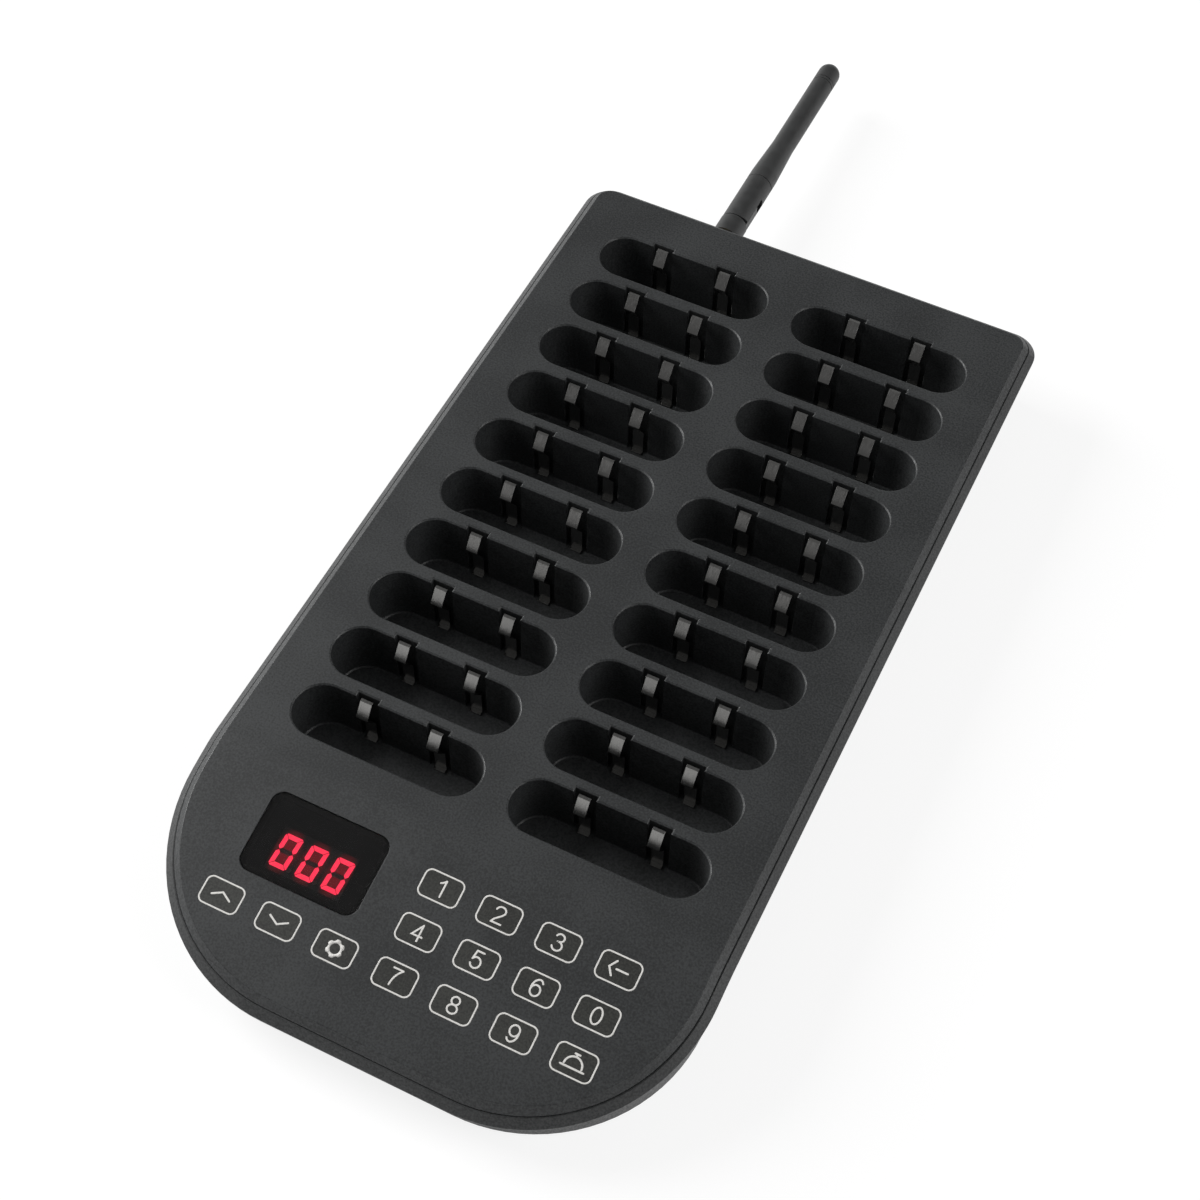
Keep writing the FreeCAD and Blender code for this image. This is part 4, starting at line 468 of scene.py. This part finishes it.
def digit_measures(finish):
    """Millimetres across and up from the middle of the nearest digit, its lean taken out."""
    place = add(finish, "ShaderNodeTexCoord")
    shift = add(finish, "ShaderNodeVectorMath", operation="SUBTRACT")
    join(finish, place.outputs["Object"], shift.inputs[0])
    shift.inputs[1].default_value = on_panel(0, 0)
    turn = add(finish, "ShaderNodeVectorRotate", rotation_type="X_AXIS")
    turn.inputs["Angle"].default_value = -SLOPE
    join(finish, shift.outputs["Vector"], turn.inputs["Vector"])
    parts = add(finish, "ShaderNodeSeparateXYZ")
    join(finish, turn.outputs["Vector"], parts.inputs["Vector"])
    up = work_out(finish, "MULTIPLY_ADD", parts.outputs["Y"], 1 / MM, -DIGIT_UP)
    across = work_out(finish, "MULTIPLY_ADD", parts.outputs["X"], 1 / MM, -DIGIT_X)
    across = work_out(finish, "MULTIPLY_ADD", up, -DIGIT_LEAN, across)
    turns = work_out(finish, "MULTIPLY_ADD", across, 1 / DIGIT_PITCH, 0.5)
    part = work_out(finish, "FLOORED_MODULO", turns, 1.0)
    across = work_out(finish, "MULTIPLY_ADD", part, DIGIT_PITCH, -DIGIT_PITCH / 2)
    return across, up


print("digits every", DIGIT_PITCH, "mm")

# %% [markdown]
# ## Lit segments
# A segment is a bar of clouded red resin with a lamp chip under it.  A lamp behind each bar would
# light it truly, but it renders with much noise, and emission in the shader looks the same.  The
# emission is off in a diamond round the middle segment and outside the width of a digit, where
# the points stand.  The red light that spills between the bars onto the black face of the module
# is painted on: the face's own shader glows a faint red, and the glow fades with the distance
# from the middle of the digit.

# %% Lit segments
DARK_DIAMOND, DIGIT_HALF = 1.95, 2.62
GLOW_LOW, GLOW_HIGH = 2.3, 2.8
# Painted red glow on the module face: its strength, the squash of its height, and the distances
# over which it fades out.
PAINTED_SPILL_STRENGTH, PAINTED_SPILL_SQUASH, PAINTED_SPILL_NEAR, PAINTED_SPILL_FAR = 0.23, 0.55, 1.6, 3.9


def digit_resin(name):
    """Red diffused resin: lit segments glow, the others show as faint grey."""
    finish, shader = new_finish(name)
    across, up = digit_measures(finish)
    aside, above = (work_out(finish, "ABSOLUTE", measure) for measure in (across, up))
    clear_of_middle = work_out(
        finish, "GREATER_THAN", work_out(finish, "ADD", aside, above), DARK_DIAMOND
    )
    in_digit = work_out(finish, "LESS_THAN", aside, DIGIT_HALF)
    lit = work_out(finish, "MULTIPLY", clear_of_middle, in_digit)
    cloud = grain(finish, own_measures(finish), size_mm=0.8, detail=2.0)
    glow = work_out(finish, "MULTIPLY", lit, spread(finish, cloud, GLOW_LOW, GLOW_HIGH))
    join(finish, glow, shader.inputs["Emission Strength"])
    shader.inputs["Emission Color"].default_value = (1.0, 0.026, 0.072, 1)
    resin = tint(finish, cloud, (0.09, 0.05, 0.05), (0.14, 0.08, 0.08))
    join(finish, resin, shader.inputs["Base Color"])
    shader.inputs["Roughness"].default_value = 0.45
    return finish


def module_face(name):
    """The display module's black case, with a painted red glow for the light of the lit segments.
    """
    finish, shader = new_finish(name)
    across, up = digit_measures(finish)
    squashed = work_out(finish, "MULTIPLY", up, PAINTED_SPILL_SQUASH)
    squares = work_out(
        finish, "MULTIPLY_ADD", across, across, work_out(finish, "MULTIPLY", squashed, squashed)
    )
    reach = work_out(finish, "SQRT", squares)
    # Painted light: the face glows red near each digit, standing in for the light that spills from
    # the lit bars.
    painted_spill = spread(finish, reach, PAINTED_SPILL_STRENGTH, 0.0, PAINTED_SPILL_NEAR, PAINTED_SPILL_FAR)
    join(finish, painted_spill, shader.inputs["Emission Strength"])
    shader.inputs["Emission Color"].default_value = (1.0, 0.015, 0.045, 1)
    lumps = grain(finish, own_measures(finish), size_mm=0.4)
    black = tint(finish, lumps, (0.008, 0.007, 0.007), (0.016, 0.014, 0.014))
    join(finish, black, shader.inputs["Base Color"])
    join(finish, spread(finish, lumps, 0.45, 0.6), shader.inputs["Roughness"])
    return finish


dress(digit_resin("digit_resin"), "digit_segments")
dress(module_face("module_face"), "display_module")
print("digits lit")

# %% [markdown]
# ## The window
# The window is a sheet of smoked acrylic with polished faces.  Its back is screen printed black
# except for a clear field in front of the digits, which is why only they can be seen.  A glossy
# black sheet with lit digits drawn on it would do from the front, but it would have no depth from
# the side.  So the acrylic is a Principled shader with full transmission and a grey tint.

# %% Window
def smoked_acrylic(name):
    """Clear grey plastic with faintly uneven smoke."""
    finish, shader = new_finish(name)
    smoke = grain(finish, own_measures(finish), size_mm=6.0)
    grey = tint(finish, smoke, (0.50, 0.49, 0.49), (0.56, 0.55, 0.55))
    join(finish, grey, shader.inputs["Base Color"])
    join(finish, spread(finish, smoke, 0.03, 0.07), shader.inputs["Roughness"])
    shader.inputs["Transmission Weight"].default_value = 1
    shader.inputs["IOR"].default_value = 1.49
    return finish


dress(smoked_acrylic("smoked_acrylic"), "display_window")
print("window glazed")

# %% [markdown]
# ## The print behind the window
# The black print is only a film of ink.  A darker material on part of the sheet would need its
# mesh cut, so the print is a thin plate of its own just under the sheet, with a rectangular
# opening for the digits.  It is the first new piece here: it is drawn with bmesh, vertex by
# vertex, turned into an object, and told to ride on the case.  Ink pressed to the sheet has no
# gloss of its own, so its specular level is low.  Each row of four numbers gives half the width
# and half the height of an edge of the plate, and the place of its middle.

# %% Window print
def piece_from(mesh, name, finish):
    """Turns a bmesh into an object that rides on the case."""
    bmesh.ops.recalc_face_normals(mesh, faces=mesh.faces)
    data = bpy.data.meshes.new(name)
    mesh.to_mesh(data)
    mesh.free()
    data.materials.append(finish)
    piece = bpy.data.objects.new(name, data)
    bpy.context.scene.collection.objects.link(piece)
    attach(piece, "root")
    return piece


def flat_ring(mesh, outer_low, inner_low, outer_high, inner_high):
    """The faces of a flat ring: its top, its underside and its two walls."""
    for i in range(len(outer_low)):
        j = (i + 1) % len(outer_low)
        mesh.faces.new((outer_high[i], outer_high[j], inner_high[j], inner_high[i]))
        mesh.faces.new((outer_low[j], outer_low[i], inner_low[i], inner_low[j]))
        mesh.faces.new((outer_low[i], outer_low[j], outer_high[j], outer_high[i]))
        mesh.faces.new((inner_low[j], inner_low[i], inner_high[i], inner_high[j]))


def plate_with_opening(name, finish, outer, inner, low, high):
    """A thin plate between two lifts; outer and inner are half sizes and a middle."""
    mesh = bmesh.new()
    loops = []
    for lift in (low, high):
        for half_x, half_up, x, up in (outer, inner):
            loops.append([
                mesh.verts.new(on_panel(x + side * half_x, up + end * half_up, lift))
                for side, end in ((-1, -1), (1, -1), (1, 1), (-1, 1))
            ])
    flat_ring(mesh, *loops)
    return piece_from(mesh, name, finish)


WINDOW_X, WINDOW_UP = -33.2, -17.45
window_ink = moulded("window_ink", (0.0015, 0.0015, 0.0016), (0.0030, 0.0030, 0.0032), 0.5, 0.65)
window_shader = window_ink.node_tree.nodes["Principled BSDF"]
window_shader.inputs["Specular IOR Level"].default_value = 0.15
window_print = plate_with_opening(
    "window_print", window_ink,
    outer=(15.6, 9.5, WINDOW_X, WINDOW_UP), inner=(10.9, 5.9, DIGIT_X, DIGIT_UP),
    low=-1.72, high=-1.67,
)
print("window print", len(window_print.data.polygons), "faces")

# %% [markdown]
# ## Printed lines
# The key marks are screen printed in pale ink.  They could be drawn in the panel's material, but
# ink has a body: a line stands a few hundredths of a millimetre proud, with soft shoulders, and
# an edge in the mesh stays crisp close up.  So every mark is a ribbon swept along a path, with a
# low crowned section and rounded ends.  Where ribbons cross, their crowns meet cleanly, which
# two flat strips at one height would not.  Each starts a little under the skin, so that no gap
# shows beneath it.

# %% Ribbons of ink
INK_LINE = 0.42
UNDER_SKIN = -0.03
INK_CROWN = (
    (-1.0, UNDER_SKIN), (-1.0, 0.006), (-0.7, 0.016), (0.0, 0.022),
    (0.7, 0.016), (1.0, 0.006), (1.0, UNDER_SKIN),
)
SHARPEST_MITRE = 0.5
ROUND_TURNS = (30, 55, 75)
NO_LENGTH = 1e-9


def directions(path, closed):
    """The unit direction of travel and the mitre stretch at each point of a path."""
    found = []
    for i, point in enumerate(path):
        before = path[i - 1] if closed or i else point
        after = path[(i + 1) % len(path)] if closed or i + 1 < len(path) else point
        came = (point - before).normalized() if (point - before).length > NO_LENGTH else None
        goes = (after - point).normalized() if (after - point).length > NO_LENGTH else came
        came = came or goes
        along = (came + goes).normalized()
        stretch = 1 / max(SHARPEST_MITRE, came.dot(along))
        found.append((along, stretch))
    return found


def rounded_end(station, sign, width):
    """Narrowing sections past a path's end."""
    point, along, _ = station
    turns = [math.radians(angle) for angle in ROUND_TURNS]
    ends = [
        (point + along * (sign * math.sin(t) * width / 2), along, math.cos(t) * width / 2)
        for t in turns
    ]
    return ends if sign > 0 else ends[::-1]


def ink_ribbon(mesh, centre, points, width=INK_LINE, closed=False):
    """Sweeps the crowned ink section along a path given in millimetres from a centre."""
    path = [Vector(point) for point in points]
    stations = [
        (point, along, stretch * width / 2)
        for point, (along, stretch) in zip(path, directions(path, closed))
    ]
    if not closed:
        start, end = (rounded_end(stations[i], sign, width) for i, sign in ((0, -1), (-1, 1)))
        stations = start + stations + end
    sections = []
    for point, along, half in stations:
        side = Vector((along.y, -along.x))
        section = []
        for across, lift in INK_CROWN:
            spot = point + side * (across * half)
            place = on_panel(centre[0] + spot.x, centre[1] + spot.y, lift)
            section.append(mesh.verts.new(place))
        sections.append(section)
    pairs = list(zip(sections, sections[1:])) + ([(sections[-1], sections[0])] if closed else [])
    for first, second in pairs:
        for i in range(len(INK_CROWN)):
            j = (i + 1) % len(INK_CROWN)
            mesh.faces.new((first[i], first[j], second[j], second[i]))
    if not closed:
        mesh.faces.new(sections[0])
        mesh.faces.new(sections[-1])


print("ink crown", max(lift for _, lift in INK_CROWN), "mm")

# %% [markdown]
# ## Shapes for the marks
# Every path is made of plain parts: a piece of an ellipse, a curve through a few points, or the
# outline of a rounded rectangle.  Blender's curve objects could draw them too, but a list of
# points goes straight into the ribbon.

# %% Path helpers
def sweep(x, y, reach_x, reach_y, start, stop, steps=18):
    """Points along an ellipse from one angle to another, in degrees."""
    turns = [math.radians(start + (stop - start) * i / steps) for i in range(steps + 1)]
    return [(x + reach_x * math.cos(t), y + reach_y * math.sin(t)) for t in turns]


def ring(x, y, reach_x, reach_y, steps=36):
    """Points once round an ellipse, from its top."""
    return sweep(x, y, reach_x, reach_y, 90, 450, steps)[:-1]


def through(points, steps=5):
    """A smooth curve through points."""
    spots = [Vector(point) for point in points]
    spots = [spots[0] * 2 - spots[1]] + spots + [spots[-1] * 2 - spots[-2]]
    curve = []
    for a, b, c, d in zip(spots, spots[1:], spots[2:], spots[3:]):
        for i in range(steps):
            t = i / steps
            curve.append(
                0.5 * (b * 2 + (c - a) * t + (a * 2 - b * 5 + c * 4 - d) * t * t
                       + (b * 3 - a - c * 3 + d) * t * t * t)
            )
    curve.append(spots[-2])
    return [tuple(spot) for spot in curve]


def rounded_rectangle(half_x, half_y, radius, steps=8):
    """Points once round a rectangle with round corners, its middle at zero."""
    corners = ((1, 1, 0), (-1, 1, 90), (-1, -1, 180), (1, -1, 270))
    outline = []
    for side, end, start in corners:
        x, y = side * (half_x - radius), end * (half_y - radius)
        outline += sweep(x, y, radius, radius, start, start + 90, steps)
    return outline


KEY_OUTLINE = rounded_rectangle(half_x=5.4, half_y=3.6, radius=1.7)
print("key outline", len(KEY_OUTLINE), "points")

# %% [markdown]
# ## Numerals
# Blender has text objects, but a keypad's numerals are thinner and rounder than its font.  So
# each is drawn on a small grid two wide and four tall, as one or two strokes that are open or
# closed, and is stretched to the size of the print.  A six turned round is a nine.

# %% Numeral strokes
SIX_BOWL = ring(0.02, -0.68, 0.97, 1.27)
SIX_STEM = through([
    (-0.94, -0.75), (-0.97, 0.15), (-0.80, 0.95), (-0.42, 1.62),
    (0.12, 1.95), (0.62, 1.78), (0.9, 1.34),
])
TWO_NECK = sweep(0.0, 0.96, 0.97, 0.99, 172, -18)
TWO_FOOT = [(0.55, 0.05), (-0.1, -0.62), (-0.68, -1.25), (-0.98, -1.95), (1.0, -1.95)]
SEVEN_LEG = through([(1.0, 1.95), (0.30, 1.0), (-0.18, -0.1), (-0.40, -1.1), (-0.48, -1.98)])


def flipped(points):
    """The same stroke turned half round."""
    return [(-x, -y) for x, y in points]


NUMERAL_GRID = {
    "0": [(ring(0, 0, 0.98, 1.95), True)],
    "1": [(through([(-0.52, 1.08), (-0.12, 1.34), (0.24, 1.70), (0.42, 1.96)]), False),
          ([(0.46, 1.96), (0.46, 0), (0.46, -1.96)], False)],
    "2": [(TWO_NECK + TWO_FOOT, False)],
    "3": [(sweep(-0.03, 1.06, 0.85, 0.89, 163, -90) + [(-0.3, 0.17)], False),
          ([(-0.3, 0.17)] + sweep(-0.03, -0.89, 0.99, 1.06, 90, -163, 24), False)],
    "4": [([(0.42, -1.98), (0.42, 1.9)], False),
          ([(0.42, 1.9), (-1.05, -0.8), (1.1, -0.8)], False)],
    "5": [([(0.86, 1.95), (-0.60, 1.95), (-0.88, -0.02)], False),
          (sweep(-0.02, -0.68, 1.0, 1.27, 150, -160, 26), False)],
    "6": [(SIX_BOWL, True), (SIX_STEM, False)],
    "7": [([(-0.98, 1.95), (1.0, 1.95)], False), (SEVEN_LEG, False)],
    "8": [(ring(0, 1.02, 0.82, 0.93), True), (ring(0, -0.93, 0.99, 1.02), True)],
    "9": [(flipped(SIX_BOWL), True), (flipped(SIX_STEM), False)],
}
WIDEN, HEIGHTEN = 1.31, 1.10
NUMERALS = {
    mark: [([(x * WIDEN, y * HEIGHTEN) for x, y in stroke], closed) for stroke, closed in strokes]
    for mark, strokes in NUMERAL_GRID.items()
}
print(len(NUMERALS), "numerals")

# %% [markdown]
# ## Symbols
# Five keys carry a symbol: up, down, a cog wheel for the settings, an arrow back and a counter
# bell that calls a guest.  Four use the same ribbons.  The cog is a broad ring with six teeth,
# and a ribbon of one width can't follow those, so it is a flat ring between two loops of points.

# %% Symbol strokes
SYMBOLS = {
    "up": [([(-2.6, -0.72), (0, 0.72), (2.6, -0.72)], False)],
    "down": [([(-2.6, 0.72), (0, -0.72), (2.6, 0.72)], False)],
    "back": [([(-1.2, 1.95), (-2.55, 0), (-1.2, -1.95)], False), ([(-0.6, 0), (2.5, 0)], False)],
    "bell": [(sweep(0, -0.95, 2.35, 2.35, 0, 180, 24), False),
             ([(-3.1, -1.5), (3.1, -1.5)], False),
             ([(0, 1.5), (0, 2.05)], False), ([(-0.65, 2.1), (0.65, 2.1)], False)],
}
COG_TEETH, COG_BORE, COG_LIFT = 6, 1.36, 0.02
COG_TOOTH = (
    (-30, 1.98), (-22, 2.0), (-18, 2.12), (-13, 2.38), (0, 2.42), (13, 2.38), (18, 2.12), (22, 2.0)
)


def cog(mesh, centre):
    """A flat ring whose outer loop follows the teeth and whose inner loop is the bore."""
    loops = []
    for lift in (UNDER_SKIN, COG_LIFT):
        outer, inner = [], []
        for tooth in range(COG_TEETH):
            for angle, radius in COG_TOOTH:
                turn = math.radians((tooth + 0.5) * 360 / COG_TEETH + angle)
                for loop, reach in ((outer, radius), (inner, COG_BORE)):
                    x, y = centre[0] + reach * math.cos(turn), centre[1] + reach * math.sin(turn)
                    loop.append(mesh.verts.new(on_panel(x, y, lift)))
        loops += [outer, inner]
    flat_ring(mesh, *loops)


print(len(SYMBOLS) + 1, "symbols")

# %% [markdown]
# ## The ink and the coat of a key
# The keys don't move: a finger is sensed through the plastic, so a key is only its printed
# outline and mark.  Inside each outline the moulding is a shade warmer, where a clear coat was
# printed over it.  The panel's own shader could tint those fields, but then it would have to know
# where each key is.  A very thin film of nearly the same plastic does it with no sums, and it can
# be lifted off the model.

# %% Key ink and key coat
COAT_LIFT = 0.004
NUMERAL_LINE, SYMBOL_LINE = 0.48, 0.51
pale_ink = moulded(
    "pale_ink", (0.72, 0.705, 0.675), (0.88, 0.865, 0.83), 0.5, 0.65, grain_mm=0.6
)
key_coat = spark_plastic(
    "key_coat", (0.0150, 0.0155, 0.0135), (0.0440, 0.0450, 0.0405), 0.42, 0.56, edge_mm=0.0
)


def film(mesh, centre, outline):
    """A thin film inside an outline, closed underneath."""
    top, low = (
        [mesh.verts.new(on_panel(centre[0] + x, centre[1] + y, lift)) for x, y in outline]
        for lift in (COAT_LIFT, UNDER_SKIN)
    )
    mesh.faces.new(top)
    mesh.faces.new(low[::-1])
    for i in range(len(outline)):
        j = (i + 1) % len(outline)
        mesh.faces.new((low[i], low[j], top[j], top[i]))


def print_key(mark, x, up):
    """One key: its coat, its outline and its mark."""
    mesh = bmesh.new()
    film(mesh, (x, up), KEY_OUTLINE)
    coat = piece_from(mesh, f"key_coat_{mark}", key_coat)
    mesh = bmesh.new()
    ink_ribbon(mesh, (x, up), KEY_OUTLINE, closed=True)
    if mark == "cog":
        cog(mesh, (x, up))
    line = NUMERAL_LINE if mark in NUMERALS else SYMBOL_LINE
    for stroke, closed in NUMERALS.get(mark, SYMBOLS.get(mark, [])):
        ink_ribbon(mesh, (x, up), stroke, line, closed)
    ink = piece_from(mesh, f"key_print_{mark}", pale_ink)
    for polygon in ink.data.polygons:
        polygon.use_smooth = True


print("ink", pale_ink.name, "and coat", key_coat.name)

# %% [markdown]
# ## The fifteen keys
# Twelve keys stand in a block of three rows beside the display, and three more under it.  Their
# columns share one pitch and their rows another, so two short loops place them all, and a change
# of pitch would move every key together.  An array modifier could repeat the outlines, but each
# key has a mark of its own.

# %% Keys
COLUMN_X, COLUMN_PITCH, SIDE_X = 0.57, 16.43, -49.34
ROW_UP, ROW_PITCH = -12.18, 12.35
KEY_ROWS = (("1", "2", "3", "back"), ("4", "5", "6", "0"), ("7", "8", "9", "bell"))
for row, marks in enumerate(KEY_ROWS):
    for column, mark in enumerate(marks):
        print_key(mark, COLUMN_X + COLUMN_PITCH * column, ROW_UP - ROW_PITCH * row)
for column, mark in enumerate(("up", "down", "cog")):
    print_key(mark, SIDE_X + COLUMN_PITCH * column, ROW_UP - ROW_PITCH * 2)
printed = [piece.name for piece in bpy.data.objects if piece.name.startswith("key_print")]
print(len(printed), "keys printed")

# %% [markdown]
# ## The white sheet
# The dock stands on a white sheet inside a low white wall.  Strong light on a grey floor would
# turn it white too, but it would flood the object.  So the sheet's material asks what kind of ray
# has met it.  To the camera, and in reflections, it is plain white; to every other ray it is
# matte paper, so it takes the object's soft shadow and lights the undersides a little.

# %% White sheet
def seen_directly(finish):
    """1 for rays from the camera and for mirror-like or see-through bounces."""
    path = add(finish, "ShaderNodeLightPath")
    seen = path.outputs["Is Camera Ray"]
    for name in ("Is Glossy Ray", "Is Transmission Ray"):
        seen = work_out(finish, "MAXIMUM", seen, path.outputs[name])
    return seen


def white_paper(paper, shadow, glow):
    """Matte paper that is seen as white: glow is its plain part, shadow the part that darkens."""
    finish = bpy.data.materials.new("white_paper")
    finish.use_nodes = True
    finish.node_tree.nodes.clear()
    matte = add(finish, "ShaderNodeBsdfDiffuse", color=(paper, paper, paper, 1))
    faint = add(finish, "ShaderNodeBsdfDiffuse", color=(shadow, shadow, shadow, 1))
    light = add(finish, "ShaderNodeEmission", strength=glow)
    white = add(finish, "ShaderNodeAddShader")
    join(finish, faint.outputs[0], white.inputs[0])
    join(finish, light.outputs[0], white.inputs[1])
    choice = add(finish, "ShaderNodeMixShader")
    join(finish, seen_directly(finish), choice.inputs["Fac"])
    join(finish, matte.outputs[0], choice.inputs[1])
    join(finish, white.outputs[0], choice.inputs[2])
    out = add(finish, "ShaderNodeOutputMaterial")
    join(finish, choice.outputs[0], out.inputs["Surface"])
    return finish


def staged(name, corners, faces, finish):
    """A piece of the studio, which isn't part of the object."""
    data = bpy.data.meshes.new(name)
    data.from_pydata(corners, [], faces)
    data.materials.append(finish)
    piece = bpy.data.objects.new(name, data)
    bpy.context.scene.collection.objects.link(piece)


def white_sheet(radius, wall, sides=48):
    """A round floor with a low wall about it."""
    turns = [2 * math.pi * i / sides for i in range(sides)]
    rim = [(radius * math.cos(t), radius * math.sin(t), 0) for t in turns]
    top = [(x, y, wall) for x, y, _ in rim]
    around = [(i, (i + 1) % sides, sides + (i + 1) % sides, sides + i) for i in range(sides)]
    floor_paper = white_paper(paper=0.8, shadow=0.22, glow=0.84)
    wall_paper = white_paper(paper=0.5, shadow=0.0, glow=1.0)
    staged("white_floor", rim, [tuple(range(sides))], floor_paper)
    staged("white_wall", rim + top, around, wall_paper)


white_sheet(radius=3.0, wall=0.9)
print("sheet laid")

# %% [markdown]
# ## Lamps
# Black plastic is mostly seen by what it reflects.  A bright room all round would be simple, but
# it lays a grey veil over everything.  So the room above the wall is dim, which keeps the top
# calm and the polished window black, and three soft lamps round the sides draw the edges.  The
# left one is the strongest, so the slots have a lit side and a dark side.

# %% Lamps
DOCK_MIDDLE = Vector((0, 0, 0))


def dim_room(strength):
    """The room above the wall, an even white of a low strength."""
    world = bpy.data.worlds.new("studio")
    bpy.context.scene.world = world
    world.use_nodes = True
    back = world.node_tree.nodes["Background"]
    back.inputs["Color"].default_value = (1, 1, 1, 1)
    back.inputs["Strength"].default_value = strength


def soft_lamp(name, place, width, height, power):
    """A lamp behind a cloth of width by height metres, turned to the middle of the dock."""
    data = bpy.data.lights.new(name, "AREA")
    data.shape = "RECTANGLE"
    data.size = width
    data.size_y = height
    data.energy = power
    lamp = bpy.data.objects.new(name, data)
    lamp.location = place
    lamp.rotation_euler = (DOCK_MIDDLE - Vector(place)).to_track_quat("-Z", "Y").to_euler()
    bpy.context.scene.collection.objects.link(lamp)


dim_room(strength=0.19)
soft_lamp("left", (-1.10, 0.05, 0.70), width=0.7, height=0.7, power=17.0)
soft_lamp("right", (1.10, 0.10, 0.75), width=0.7, height=0.7, power=6.5)
soft_lamp("rear", (0.0, 1.20, 0.80), width=0.9, height=0.6, power=0.4)
bpy.context.scene.view_settings.view_transform = "Standard"
